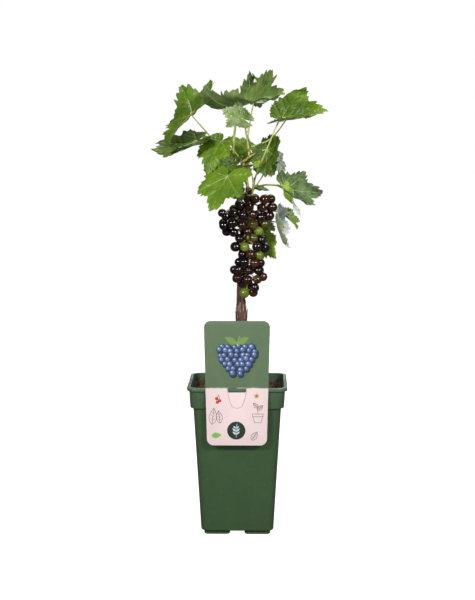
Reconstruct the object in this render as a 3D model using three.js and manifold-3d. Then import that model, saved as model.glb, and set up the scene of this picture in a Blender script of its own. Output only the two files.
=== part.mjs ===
// Young grapevine with one bunch of dark grapes, in a deep square nursery pot with a hanging label card.
// Millimetres, +Z up. The origin is the middle of the pot's underside, at the level that it stands on.
// The plant grows in the pot's middle; -Y is the side that the label card hangs on.

import * as THREE from 'three';
import { mergeVertices } from 'three/addons/utils/BufferGeometryUtils.js';
import Module from 'manifold-3d';

const wasm = await Module();
wasm.setup();

// Sizes shared by the whole plant
const GAP = 0.3; // clear space between pieces that touch in real life
const FULL_TURN = 2 * Math.PI;

// Pot: square, tapering, with a stepped-out band under a folded lip, on four feet
const POT = {
  height: 228,
  lip: { half: 75, high: 5.6, corner: 9 },
  band: { topHalf: 71.7, bottomHalf: 70.1, bottom: 196.5, corner: 14 },
  body: { topHalf: 65.6, bottomHalf: 54.9, bottom: 7, corner: 13 },
  wall: 2,
  foot: { half: 19.5, centre: 30.5, corner: 5, high: 7 },
  notch: { long: 28, deep: 2.6, high: 2.6 },
};

// Compost: fills the pot to below the lip and is drawn up in a low mound round the trunk
const SOIL = { edge: 208, mound: 6, collar: 16, collarLevel: 213 };

// Label card: a front sheet that hangs on the lip by a tongue, folded up behind itself below the lip
const CARD = {
  top: 329, bottom: 142.5, topHalf: 49, bottomHalf: 44.4, corner: 10, thick: 1,
  back: 1.2, // thickness of the sheet folded up behind
  tongueHalf: 14.6, tongueTop: 229.5, tongueEnd: 198, tongueRound: 15, tongueDrop: 15,
};

// Woody limbs: each row is [x, y, height, radius] up the middle of the limb
const TRUNK = [
  [1, 1, SOIL.collarLevel + GAP, 12], [2, 1, 221, 9], [3.5, 1, 245, 7.6], [5, 0, 300, 7.4],
  [5.6, 0, 329, 9.3], [5, 0, 346, 7.2], [4.6, 1, 368, 6.5], [8, 3, 430, 6.1],
  [13.5, 4, 490, 5.4], [16, 3, 522, 4.4],
];
const SHOOTS = {
  main_shoot: [
    [15, 2.6, 523, 2.6], [10.5, 0, 553, 2.3], [7.5, -1, 560.5, 2.1], [16.3, -1, 569, 1.8],
    [14.2, 0, 592, 1.4],
  ],
  left_spur: [[9, 5, 513.5, 2.2], [0, 6, 528, 2.1], [-6.5, 5, 546, 1.9]],
  right_spur: [[22.2, 0.2, 518, 2.2], [25, -3, 535, 1.7]],
};

// Leaf outline: angle from the midrib, reach as a share of the leaf's length, teeth on the edge that follows
const LEAF_EDGE = [
  [0, 1.0, 2], [26, 0.68, 2], [50, 0.87, 2], [76, 0.6, 1],
  [101, 0.72, 1], [126, 0.6, 1], [148, 0.5, 1], [168, 0.13, 0],
];
const TOOTH = { rise: 0.044, fall: 0.028, notchAfterTip: 0.62, tipAfterNotch: 0.38 };
const HALF_WIDTH = 0.85; // share of the length over which the cup angle builds up
const MIDDLE_RING = 0.5; // share of the reach at which the blade has its inner points
const BLADE_SHARE = 0.0115; // blade's thickness as a share of the leaf's length
const LEAST_BLADE = 0.6;
const WAVES = 5;
const PETIOLE = { sides: 4, foot: 1.25, tip: 0.95, sunk: 0.07 };
const SEAT = { steps: 6, rim: 8, step: 0.05 }; // how finely a stalk's foot is brought up to its limb

// Leaves: on = [limb, share of its length], at = blade's joint, heading 0 = +X, 90 = +Y, angles in degrees.
// cup turns both sides up, droop bends the tip down, bow arches the stalk by [towards +Y, upwards].
const LEAVES = {
  leaf_top: {
    on: ['left_spur', 1], at: [3, -3, 646], aim: [-40, 10, 22],
    long: 84, cup: 80, droop: 5, bow: [-3, -10],
  },
  leaf_upper_left: {
    on: ['left_spur', 0.6], at: [-71, 11, 633], aim: [90, 20, -42],
    long: 72, cup: -10, droop: -35, wave: 0.09, phase: 310, bow: [9, 9],
  },
  leaf_far_left: {
    on: ['left_spur', 0.4], at: [-62.5, 8, 593], aim: [-175, -26, -10],
    long: 72, cup: 30, droop: -20, wave: 0.09, phase: 57, bow: [2, -10],
  },
  leaf_upper_right: {
    on: ['right_spur', 1], at: [65.5, -13, 626.5], aim: [12, 12, 40],
    long: 60, cup: 62, droop: 8, bow: [4, 4],
  },
  leaf_small_top: {
    on: ['main_shoot', 0.84], at: [8.5, -53, 624.5], aim: [-170, 15, -50],
    long: 34, cup: 24, droop: 0, bow: [15, 3],
  },
  leaf_left: {
    on: ['main_shoot', 0.52], at: [-24, -18, 592], aim: [-150, -48, 10],
    long: 58, cup: 58, droop: 3, wave: 0.07, phase: 126, bow: [0, 3],
  },
  leaf_front: {
    on: ['main_shoot', 0.05], at: [-14.7, -52, 541], aim: [-128, -50, -5],
    long: 59, cup: 4, droop: 10, bow: [0, 8],
  },
  leaf_shaded_left: {
    on: ['main_shoot', 0.4], at: [-3.5, -12, 564.5], aim: [-115, -36, 8],
    long: 39, cup: 60, droop: 0, bow: [0, 2],
  },
  leaf_inner: {
    on: ['main_shoot', 0.74], at: [16, 46, 580], aim: [165, 35, -60],
    long: 33, cup: 10, droop: 15, bow: [1, 1],
  },
  leaf_shaded_right: {
    on: ['main_shoot', 0.66], at: [44, -28, 579], aim: [-110, -35, 28],
    long: 46, cup: 50, droop: -8, bow: [0, 3],
  },
  leaf_inner_right: {
    on: ['main_shoot', 0.8], at: [39, 78, 580.5], aim: [-48, 20, 47],
    long: 30, cup: 50, droop: 0, bow: [0, -4],
  },
  leaf_hanging_right: {
    on: ['main_shoot', 0.3], at: [43, 14, 574], aim: [-28, -75, 128],
    long: 35, cup: 10, droop: 5, bow: [2, 3],
  },
  leaf_pale_right: {
    on: ['right_spur', 0.5], at: [52, 50, 568], aim: [-62, -38, 128],
    long: 47, cup: 5, droop: -10, bow: [4, -4],
  },
  leaf_right: {
    on: ['trunk', 0.985], at: [73, -26, 523.5], aim: [16, -27, 33],
    long: 58, cup: 32, droop: -30, bow: [-25, 7],
  },
  leaf_silver: {
    on: ['trunk', 0.86], at: [58, -28, 471.5], aim: [60, -71, -116],
    long: 48, cup: -45, droop: 35, bow: [5, -2],
  },
  leaf_right_low: {
    on: ['trunk', 0.88], at: [70, 30, 483], aim: [-30, -30, -8],
    long: 36, cup: 26, droop: 25, bow: [0, 3],
  },
  leaf_behind_bunch: {
    on: ['trunk', 0.72], at: [32, 24, 437.5], aim: [-60, 25, 80],
    long: 44, cup: -60, droop: 70, bow: [0, 2],
  },
  leaf_small_front: {
    on: ['trunk', 0.97], at: [6, -8, 514], aim: [-175, -20, -70],
    long: 17, cup: 10, droop: 10, bow: [-1, 1],
  },
  leaf_rear_top: {
    on: ['main_shoot', 1], at: [24, 46, 652.5], aim: [80, 8, -6],
    long: 50, cup: 20, droop: 30, wave: 0.05, phase: 90, bow: [-4, 5],
  },
  leaf_rear_left: {
    on: ['left_spur', 0.3], at: [-8, 50, 552], aim: [98, -20, 4],
    long: 47, cup: 24, droop: 30, wave: 0.06, phase: 20, bow: [3, 6],
  },
  leaf_rear_right: {
    on: ['main_shoot', 0.9], at: [80, 41, 634], aim: [60, 12, -10],
    long: 46, cup: 22, droop: 34, wave: 0.05, phase: 200, bow: [0, 3],
  },
  leaf_rear_low: {
    on: ['trunk', 0.8], at: [18, 44, 474], aim: [78, -34, 6],
    long: 52, cup: 18, droop: 24, wave: 0.06, phase: 140, bow: [0, 6],
  },
};

// Bunch: rachis [x, y, height, radius]; envelope [height, reach left of the rachis, reach right of it]
const BUNCH = {
  stem: [
    [10, -3.6, 551, 1.5], [18, -14, 549, 1.3], [23, -23, 535, 1.2], [22, -27, 512, 1.5],
    [17, -27, 480, 1.8], [15, -27, 430, 1.5], [14, -27, 368, 1.0],
  ],
  arch: 3, // rows of the stem above the first berry
  axis: { x: 15, y: -27 },
  envelope: [
    [512, -2, 38], [498, 12, 43], [486, 42, 38], [466, 45, 26], [448, 26, 28], [434, 24, 29],
    [420, 14, 22], [404, 24, 24], [388, 24, 27], [372, 12, 16], [358, 6, 8],
  ],
  front: 22, back: 18, layer: 11.6, spacing: 14.4, berry: 7, vary: 0.7, missing: 0.06, clear: 1.2,
  seed: 71, settle: 24,
  stalk: { radius: 0.9, lift: 5, stagger: 3, lowest: 371, highest: 508, root: 0.9 },
};
const BERRY_FACES = { around: 6, up: 4 };

// Small tools for solids

function vec(p) {
  return new THREE.Vector3(p[0], p[1], p[2]);
}

function solidFromTriangles(points, triangles) {
  const vertProperties = new Float32Array(points.flatMap((p) => [p.x, p.y, p.z]));
  const mesh = new wasm.Mesh({ numProp: 3, vertProperties, triVerts: new Uint32Array(triangles.flat()) });
  return new wasm.Manifold(mesh);
}

function solidFromGeometry(geometry, place = new THREE.Matrix4()) {
  const bare = geometry.index ? geometry.toNonIndexed() : geometry.clone();
  bare.deleteAttribute('normal');
  bare.deleteAttribute('uv');
  bare.applyMatrix4(place);
  const merged = mergeVertices(bare, 1e-4);
  const mesh = new wasm.Mesh({
    numProp: 3,
    vertProperties: new Float32Array(merged.attributes.position.array),
    triVerts: new Uint32Array(merged.index.array),
  });
  return new wasm.Manifold(mesh);
}

// The outer skin of the largest body: hollows that fusing seals are filled and loose scraps are dropped.
function wholeBody(solid) {
  return solid.decompose().reduce((best, piece) => (piece.volume() > best.volume() ? piece : best));
}

function geometryFromSolid(solid) {
  const { vertProperties, triVerts, numProp } = wholeBody(solid).getMesh();
  const position = [];
  for (const corner of triVerts) {
    position.push(...vertProperties.subarray(corner * numProp, corner * numProp + 3));
  }
  const geometry = new THREE.BufferGeometry();
  geometry.setAttribute('position', new THREE.Float32BufferAttribute(position, 3));
  geometry.computeVertexNormals();
  return geometry;
}

// Skin over rings of equal point count, closed by a fan at each end; rings run anticlockwise about their way
function loft(rings) {
  const count = rings[0].length;
  const points = rings.flat();
  const triangles = [];
  for (let ring = 0; ring + 1 < rings.length; ring += 1) {
    for (let i = 0; i < count; i += 1) {
      const [a, b] = [ring * count + i, ring * count + ((i + 1) % count)];
      triangles.push([a, b, b + count], [a, b + count, a + count]);
    }
  }
  for (const [ring, turn] of [[0, -1], [rings.length - 1, 1]]) {
    const first = ring * count;
    if (count === 3) {
      triangles.push(turn > 0 ? [first, first + 1, first + 2] : [first, first + 2, first + 1]);
      continue;
    }
    const middle = new THREE.Vector3();
    rings[ring].forEach((p) => middle.addScaledVector(p, 1 / count));
    points.push(middle);
    for (let i = 0; i < count; i += 1) {
      const [a, b] = [first + i, first + ((i + 1) % count)];
      triangles.push(turn > 0 ? [a, b, points.length - 1] : [b, a, points.length - 1]);
    }
  }
  return solidFromTriangles(points, triangles);
}

function roundedSquare(half, corner, height, { x = 0, y = 0, steps = 3 } = {}) {
  const ring = [];
  for (let quarter = 0; quarter < 4; quarter += 1) {
    for (let step = 0; step <= steps; step += 1) {
      const turn = ((quarter + step / steps) * Math.PI) / 2;
      const [sx, sy] = [[1, 1], [-1, 1], [-1, -1], [1, -1]][quarter];
      ring.push(new THREE.Vector3(
        x + sx * (half - corner) + corner * Math.cos(turn),
        y + sy * (half - corner) + corner * Math.sin(turn),
        height,
      ));
    }
  }
  return ring;
}

function radiusAt(rows, share) {
  const row = Math.min(Math.floor(share * (rows.length - 1)), rows.length - 2);
  return THREE.MathUtils.lerp(rows[row][3], rows[row + 1][3], share * (rows.length - 1) - row);
}

// A round limb through rows of [x, y, height, radius]; flatFoot keeps its first ring level.
function limb(rows, sides, stepsPerRow = 2, flatFoot = false) {
  const curve = new THREE.CatmullRomCurve3(rows.map(vec), false, 'centripetal');
  const steps = (rows.length - 1) * stepsPerRow;
  const rings = [];
  let across = new THREE.Vector3(0, 1, 0);
  for (let step = 0; step <= steps; step += 1) {
    const share = step / steps;
    const along = flatFoot && step === 0 ? new THREE.Vector3(0, 0, 1) : curve.getTangent(share);
    across = across.clone().addScaledVector(along, -across.dot(along)).normalize();
    const side = along.clone().cross(across);
    const radius = radiusAt(rows, share);
    rings.push(Array.from({ length: sides }, (_, i) => {
      const turn = (i / sides) * FULL_TURN;
      return curve.getPoint(share)
        .addScaledVector(across, radius * Math.cos(turn))
        .addScaledVector(side, radius * Math.sin(turn));
    }));
  }
  return loft(rings);
}

// Pot and what it holds

// Rows of [height, half width, corner] up the inside of the pot's wall
function cavityRows() {
  const { height, band, body, wall } = POT;
  return [
    [body.bottom + 1, body.bottomHalf - wall, body.corner - wall],
    [band.bottom - 1, body.topHalf - wall, body.corner - wall],
    [band.bottom + wall, band.bottomHalf - wall, band.corner - wall],
    [height, band.topHalf - wall, band.corner - wall],
  ];
}

function cavityHalf(height) {
  const rows = cavityRows();
  const row = Math.max(1, rows.findIndex(([z]) => z >= height));
  return THREE.MathUtils.mapLinear(height, rows[row - 1][0], rows[row][0], rows[row - 1][1], rows[row][1]);
}

function potSolid() {
  const { height, lip, band, body, foot, notch } = POT;
  const lipBottom = height - lip.high;
  const outer = body.corner;
  const shell = loft([
    roundedSquare(body.bottomHalf - 2.5, outer - 2.5, body.bottom - 1),
    roundedSquare(body.bottomHalf, outer, body.bottom + 2),
    roundedSquare(body.topHalf, outer, band.bottom - 4),
    roundedSquare(body.topHalf + 0.8, outer, band.bottom - 1),
    roundedSquare(band.bottomHalf, band.corner, band.bottom),
    roundedSquare(band.topHalf, band.corner, lipBottom),
    roundedSquare(lip.half - 0.8, lip.corner, lipBottom),
    roundedSquare(lip.half, lip.corner, lipBottom + 1.2),
    roundedSquare(lip.half, lip.corner, height - 1.2),
    roundedSquare(lip.half - 1.2, lip.corner, height),
    ...cavityRows().reverse().map(([z, half, corner]) => roundedSquare(half, corner, z)),
  ]);
  let pot = shell;
  for (const sx of [-1, 1]) {
    for (const sy of [-1, 1]) {
      const middle = { x: sx * foot.centre, y: sy * foot.centre };
      pot = pot.add(loft([
        roundedSquare(foot.half - 1, foot.corner - 1, 0, middle),
        roundedSquare(foot.half, foot.corner, 1.5, middle),
        roundedSquare(foot.half, foot.corner, foot.high + 0.5, middle),
      ]));
    }
    const cut = new THREE.BoxGeometry(notch.deep * 2, notch.long, notch.high * 2);
    pot = pot.subtract(solidFromGeometry(cut, new THREE.Matrix4().makeTranslation(sx * lip.half, 0, height)));
  }
  return pot;
}

function soilHeight(x, y) {
  const out = Math.hypot(x, y);
  if (out < SOIL.collar) return SOIL.collarLevel;
  const lean = 1 - x / 90 + y / 160;
  const lumps = Math.sin(x / 9) * Math.cos(y / 11);
  const share = Math.min((out - SOIL.collar) / 40, 1);
  return THREE.MathUtils.lerp(SOIL.collarLevel, SOIL.edge + SOIL.mound * 0.5 * lean + lumps, share);
}

function soilSolid() {
  const below = cavityRows().slice(0, -1);
  const rings = below.map(([z, half, corner]) => roundedSquare(half - GAP, corner, z + GAP));
  const [, , corner] = cavityRows().pop();
  for (const share of [1, 0.75, 0.5, 0.24, 0.1]) {
    const half = (cavityHalf(SOIL.edge - 4) - GAP) * share;
    const ring = roundedSquare(half, Math.min(corner + (1 - share) * 24, half * 0.95), 0);
    ring.forEach((p) => { p.z = soilHeight(p.x, p.y); });
    rings.push(ring);
  }
  return loft(rings);
}

// Flat sheet of the card between two heights, its front face at the given y
function cardSheet(bottom, top, front, thick, window = null) {
  const halfAt = (z) => THREE.MathUtils.mapLinear(z, CARD.bottom, CARD.top, CARD.bottomHalf, CARD.topHalf);
  const r = CARD.corner;
  const rTop = top === CARD.top ? r : 1;
  const [low, high] = [halfAt(bottom), halfAt(top)];
  const shape = new THREE.Shape();
  shape.moveTo(-low + r, bottom).lineTo(low - r, bottom).quadraticCurveTo(low, bottom, low, bottom + r);
  shape.lineTo(high, top - rTop).quadraticCurveTo(high, top, high - rTop, top).lineTo(-high + rTop, top);
  shape.quadraticCurveTo(-high, top, -high, top - rTop).lineTo(-low, bottom + r);
  shape.quadraticCurveTo(-low, bottom, -low + r, bottom);
  if (window) shape.holes.push(window);
  const sheet = new THREE.ExtrudeGeometry(shape, { depth: thick, bevelEnabled: false, curveSegments: 5 });
  const upright = new THREE.Matrix4().makeRotationX(Math.PI / 2).setPosition(0, front + thick, 0);
  return solidFromGeometry(sheet, upright);
}

function cardSolid() {
  const { tongueHalf: half, tongueTop, tongueEnd, tongueRound, thick, tongueDrop } = CARD;
  const front = -(POT.lip.half + GAP + thick);
  const window = new THREE.Path();
  window.moveTo(-half, tongueTop).lineTo(-half, tongueEnd + tongueRound);
  window.bezierCurveTo(-half * 0.73, tongueEnd + 3, -half / 3, tongueEnd, 0, tongueEnd);
  window.bezierCurveTo(half / 3, tongueEnd, half * 0.73, tongueEnd + 3, half, tongueEnd + tongueRound);
  window.lineTo(half, tongueTop);
  const lipBottom = POT.height - POT.lip.high;
  const sheet = cardSheet(CARD.bottom, CARD.top, front, thick, window);
  const back = cardSheet(CARD.bottom, lipBottom - GAP, front + thick, CARD.back);
  const over = POT.height + GAP;
  const inside = GAP - cavityHalf(over - tongueDrop);
  const hook = new THREE.Shape();
  const profile = [
    [front, tongueTop - 0.2], [front + thick, over], [inside, over], [inside, over - tongueDrop],
    [inside + thick, over - tongueDrop], [inside + thick, over + thick], [front + thick, over + thick],
    [front + thick, tongueTop + 1], [front, tongueTop + 1],
  ];
  profile.forEach(([y, z], i) => (i ? hook.lineTo(y, z) : hook.moveTo(y, z)));
  const strip = new THREE.ExtrudeGeometry(hook, { depth: half * 2 - 1, bevelEnabled: false });
  const across = new THREE.Matrix4().set(0, 0, 1, -half + 0.5, 1, 0, 0, 0, 0, 1, 0, 0, 0, 0, 0, 1);
  return sheet.add(back).add(solidFromGeometry(strip, across));
}

// Leaves

// Outline as [turn, reach] pairs from one side of the stalk's notch to the other, and which of them are
// tips of lobes or bottoms of the notches between them
function leafOutline() {
  const half = [];
  for (let edge = 0; edge + 1 < LEAF_EDGE.length; edge += 1) {
    const [angle, reach, teeth] = LEAF_EDGE[edge];
    const [nextAngle, nextReach] = LEAF_EDGE[edge + 1];
    const falling = nextReach < reach;
    for (let tooth = 0; tooth < teeth; tooth += 1) {
      const marks = falling ? [[0, 1], [TOOTH.notchAfterTip, -1]] : [[0, -1], [TOOTH.tipAfterNotch, 1]];
      for (const [offset, sign] of marks) {
        const share = (tooth + offset) / teeth;
        const change = share === 0 ? 0 : sign > 0 ? TOOTH.rise : -TOOTH.fall;
        const along = [angle + (nextAngle - angle) * share, reach + (nextReach - reach) * share + change];
        half.push({ turn: THREE.MathUtils.degToRad(along[0]), reach: along[1], main: share === 0 });
      }
    }
  }
  const [lastAngle, lastReach] = LEAF_EDGE[LEAF_EDGE.length - 1];
  half.push({ turn: THREE.MathUtils.degToRad(lastAngle), reach: lastReach, main: true });
  const mirrored = half.slice(1).reverse().map((mark) => ({ ...mark, turn: -mark.turn }));
  return [...mirrored, ...half];
}

// Leaf axes from its aim: x along the midrib, y to the leaf's left, z out of its upper side
function leafAxes([heading, pitch, roll]) {
  const [h, p, r] = [heading, pitch, roll].map(THREE.MathUtils.degToRad);
  const x = new THREE.Vector3(Math.cos(h) * Math.cos(p), Math.sin(h) * Math.cos(p), Math.sin(p));
  const level = new THREE.Vector3(-Math.sin(h), Math.cos(h), 0);
  const y = level.clone().multiplyScalar(Math.cos(r)).addScaledVector(x.clone().cross(level), Math.sin(r));
  return new THREE.Matrix4().makeBasis(x, y, x.clone().cross(y));
}

function bladePoint(leaf, x, y) {
  const { long, cup = 0, droop = 0, wave = 0, phase = 0 } = leaf;
  const turn = Math.atan2(y, x);
  const out = Math.hypot(x, y) / long;
  let z = wave * long * out * out * Math.cos(WAVES * turn + THREE.MathUtils.degToRad(phase));
  let [px, py] = [x, y];
  if (cup) {
    const bend = THREE.MathUtils.degToRad(cup) / (HALF_WIDTH * long);
    [py, z] = [(1 / bend - z) * Math.sin(bend * py), 1 / bend - (1 / bend - z) * Math.cos(bend * py)];
  }
  if (droop) {
    const bend = THREE.MathUtils.degToRad(droop) / long;
    [px, z] = [(1 / bend + z) * Math.sin(bend * px), (1 / bend + z) * Math.cos(bend * px) - 1 / bend];
  }
  return new THREE.Vector3(px, py, z).applyMatrix4(leafAxes(leaf.aim)).add(vec(leaf.at));
}

// Blade: the joint, a middle ring with one point under each lobe and notch, and the toothed outline,
// laid on both faces and joined round the rim
function bladeSolid(leaf) {
  const outline = leafOutline();
  const inner = outline.flatMap((mark, i) => (mark.main ? [i] : []));
  const thick = Math.max(LEAST_BLADE, leaf.long * BLADE_SHARE);
  const flatPoint = ({ turn, reach }, share) => [
    share * reach * leaf.long * Math.cos(turn), share * reach * leaf.long * Math.sin(turn),
  ];
  const flat = [
    [0, 0],
    ...inner.map((i) => flatPoint(outline[i], MIDDLE_RING)),
    ...outline.map((mark) => flatPoint(mark, 1)),
  ];
  const [upper, lower] = [[], []];
  for (const [x, y] of flat) {
    const point = bladePoint(leaf, x, y);
    const along = bladePoint(leaf, x + 0.1, y).sub(point);
    const normal = along.cross(bladePoint(leaf, x, y + 0.1).sub(point)).normalize();
    upper.push(point.clone().addScaledVector(normal, thick / 2));
    lower.push(point.clone().addScaledVector(normal, -thick / 2));
  }
  const edge = 1 + inner.length;
  const top = [];
  for (let k = 0; k + 1 < inner.length; k += 1) {
    const [a, b] = [1 + k, 2 + k];
    const half = Math.floor((inner[k] + inner[k + 1]) / 2);
    top.push([0, a, b], [a, edge + half, b]);
    for (let i = inner[k]; i < inner[k + 1]; i += 1) top.push([i < half ? a : b, edge + i, edge + i + 1]);
  }
  const rim = [0, 1, ...outline.map((_, i) => edge + i), inner.length];
  const under = flat.length;
  const triangles = top.flatMap(([a, b, c]) => [[a, b, c], [a + under, c + under, b + under]]);
  rim.forEach((a, i) => {
    const b = rim[(i + 1) % rim.length];
    triangles.push([a + under, b + under, b], [a + under, b, a]);
  });
  return solidFromTriangles([...upper, ...lower], triangles);
}

function limbRows(name) {
  return name === 'trunk' ? TRUNK : SHOOTS[name];
}

// How far a point lies outside a limb's bark, or past the cut end of its tip
function outsideLimb(point, rows) {
  const curve = new THREE.CatmullRomCurve3(rows.map(vec), false, 'centripetal');
  const steps = (rows.length - 1) * SEAT.steps;
  let least = Infinity;
  for (let step = 0; step < steps; step += 1) {
    const from = curve.getPoint(step / steps);
    const along = curve.getPoint((step + 1) / steps).sub(from);
    const share = point.clone().sub(from).dot(along) / along.lengthSq();
    const past = step === steps - 1 && share > 1;
    const held = past ? share : THREE.MathUtils.clamp(share, 0, 1);
    const radius = radiusAt(rows, (step + Math.min(held, 1)) / steps);
    const aside = from.addScaledVector(along, held).distanceTo(point) - radius;
    least = Math.min(least, past ? Math.max(aside, (share - 1) * along.length()) : aside);
  }
  return least;
}

// First point of a side limb that sets off from a seat inside its carrier towards a target: the nearest
// one at which the whole rim of its cut end clears the carrier
function clearStart(rows, seat, target, radius) {
  const way = target.clone().sub(seat).normalize();
  const side = way.clone().cross(new THREE.Vector3(0, 1, 0)).normalize();
  const rim = Array.from({ length: SEAT.rim }, (_, i) => (
    side.clone().applyAxisAngle(way, (i / SEAT.rim) * FULL_TURN).multiplyScalar(radius)
  ));
  const start = seat.clone();
  while (Math.min(...rim.map((r) => outsideLimb(start.clone().add(r), rows))) < GAP) {
    start.addScaledVector(way, SEAT.step);
  }
  return start;
}

function petioleSolid(leaf) {
  const [carrier, share] = leaf.on;
  const rows = limbRows(carrier);
  const seat = new THREE.CatmullRomCurve3(rows.map(vec), false, 'centripetal').getPoint(share);
  const joint = vec(leaf.at);
  const bend = seat.clone().lerp(joint, 0.5).add(new THREE.Vector3(0, ...leaf.bow));
  const start = clearStart(rows, seat, bend, PETIOLE.foot);
  const sunk = bladePoint(leaf, leaf.long * PETIOLE.sunk, 0);
  const row = (p, radius) => [p.x, p.y, p.z, radius];
  const middle = (PETIOLE.foot + PETIOLE.tip) / 2;
  return limb([
    row(start, PETIOLE.foot), row(bend, middle), row(joint, PETIOLE.tip), row(sunk, PETIOLE.tip * 0.6),
  ], PETIOLE.sides, 2);
}

// Bunch of grapes

// Repeatable numbers from 0 to 1
function seeded(seed) {
  let state = seed;
  return () => {
    state = (state * 16807) % 2147483647;
    return state / 2147483647;
  };
}

function envelopeAt(height) {
  const rows = BUNCH.envelope;
  const row = Math.max(1, rows.findIndex(([z]) => z <= height));
  const [[z0, left0, right0], [z1, left1, right1]] = [rows[row - 1], rows[row]];
  const share = THREE.MathUtils.clamp((height - z0) / (z1 - z0), 0, 1);
  return [THREE.MathUtils.lerp(left0, left1, share), THREE.MathUtils.lerp(right0, right1, share)];
}

// Berries stand round the rachis in layers, then press each other and the trunk apart
function berries() {
  const { axis, envelope, front, back, layer, spacing, berry, vary, missing, seed, settle } = BUNCH;
  const random = seeded(seed);
  const fruit = [];
  const top = envelope[0][0] - berry;
  const bottom = envelope[envelope.length - 1][0] + berry;
  for (let level = 0; top - level * layer >= bottom - 1; level += 1) {
    const height = top - level * layer;
    const [left, right] = envelopeAt(height);
    const middle = axis.x + (right - left) / 2;
    const halfWide = Math.max((left + right) / 2 - berry, 0.5);
    const halfDeep = Math.min((front + back) / 2 - berry, halfWide + 3);
    const round = FULL_TURN * Math.hypot(halfWide, halfDeep) * Math.SQRT1_2;
    const count = Math.max(1, Math.round(round / spacing));
    for (let i = 0; i < count; i += 1) {
      const turn = ((i + (level % 2) / 2) / count) * FULL_TURN + (random() - 0.5) * 0.5;
      const [skip, size, lift] = [random(), random(), random()];
      if (skip < missing && count > 2) continue;
      fruit.push({
        centre: new THREE.Vector3(
          middle + halfWide * Math.cos(turn),
          axis.y + halfDeep * Math.sin(turn),
          height + (lift - 0.5) * layer * 0.5,
        ),
        radius: berry + (size - 0.5) * 2 * vary,
      });
    }
  }
  for (let round = 0; round < settle; round += 1) settleBerries(fruit);
  return fruit;
}

function settleBerries(fruit) {
  for (let i = 0; i < fruit.length; i += 1) {
    for (let j = i + 1; j < fruit.length; j += 1) {
      const apart = fruit[i].centre.clone().sub(fruit[j].centre);
      const short = fruit[i].radius + fruit[j].radius - apart.length();
      if (short > 0) {
        apart.setLength(short / 2);
        fruit[i].centre.add(apart);
        fruit[j].centre.sub(apart);
      }
    }
    keepOffTrunk(fruit[i]);
  }
}

function keepOffTrunk({ centre, radius }) {
  const row = TRUNK.findIndex(([, , z]) => z > centre.z);
  if (row < 1) return;
  const [low, high] = [TRUNK[row - 1], TRUNK[row]];
  const share = (centre.z - low[2]) / (high[2] - low[2]);
  const [x, y, wood] = [0, 1, 3].map((i) => THREE.MathUtils.lerp(low[i], high[i], share));
  const away = new THREE.Vector2(centre.x - x, centre.y - y);
  const need = radius + wood + BUNCH.clear;
  if (away.length() < need) {
    away.setLength(need);
    centre.x = x + away.x;
    centre.y = y + away.y;
  }
}

// Middle line of the rachis at a height
function rachisAt(height) {
  const rows = BUNCH.stem.slice(BUNCH.arch);
  const row = Math.max(1, rows.findIndex(([, , z]) => z <= height));
  const share = (height - rows[row - 1][2]) / (rows[row][2] - rows[row - 1][2]);
  return vec(rows[row - 1]).lerp(vec(rows[row]), share);
}

// Each berry hangs on a short stalk from the rachis, a little above it
function bunchSolid() {
  const { stem, stalk } = BUNCH;
  const parts = [limb(stem, 6, 2)];
  berries().forEach(({ centre, radius }, i) => {
    const ball = new THREE.SphereGeometry(radius, BERRY_FACES.around, BERRY_FACES.up);
    ball.rotateX(Math.PI / 2);
    parts.push(solidFromGeometry(ball, new THREE.Matrix4().setPosition(centre)));
    const height = centre.z + stalk.lift + (i % 3) * stalk.stagger;
    const root = rachisAt(THREE.MathUtils.clamp(height, stalk.lowest, stalk.highest));
    const way = centre.clone().sub(root).setLength(stalk.root);
    const [from, to] = [root.clone().add(way), centre.clone().addScaledVector(way, -1)];
    parts.push(limb([[from.x, from.y, from.z, stalk.radius], [to.x, to.y, to.z, stalk.radius]], 3, 1));
  });
  return wasm.Manifold.union(parts);
}

// Assembly

const FINISH = {
  pot: { color: '#3f5c3c', roughness: 0.55 },
  soil: { color: '#3a2820', roughness: 1 },
  card: { color: '#b9c4ab', roughness: 0.7 },
  bark: { color: '#5b4032', roughness: 0.95 },
  shoot: { color: '#7f9440', roughness: 0.6 },
  leaf: { color: '#5d8a35', roughness: 0.5 },
  grape: { color: '#2a1622', roughness: 0.3 },
};

const grapevine = new THREE.Group();

function addPiece(name, solid, finish) {
  const material = new THREE.MeshStandardMaterial({ ...FINISH[finish], metalness: 0 });
  const mesh = new THREE.Mesh(geometryFromSolid(solid), material);
  mesh.name = name;
  grapevine.add(mesh);
}

addPiece('pot', potSolid(), 'pot');
addPiece('soil', soilSolid(), 'soil');
addPiece('label_card', cardSolid(), 'card');
addPiece('trunk', limb(TRUNK, 12, 2, true), 'bark');
for (const [name, rows] of Object.entries(SHOOTS)) addPiece(name, limb(rows, 7, 3), 'shoot');
addPiece('grape_bunch', bunchSolid(), 'grape');
for (const [name, leaf] of Object.entries(LEAVES)) {
  addPiece(name, bladeSolid(leaf).add(petioleSolid(leaf)), 'leaf');
}

export default grapevine;
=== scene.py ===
# Young grapevine with one bunch of dark grapes, in a deep square nursery pot with a hanging label card.
# Metres, +Z up. The origin is the middle of the pot's underside, and -Y is the side that the card hangs on.
import math

import bmesh
import bpy
import numpy as np
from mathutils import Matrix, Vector, noise


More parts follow.
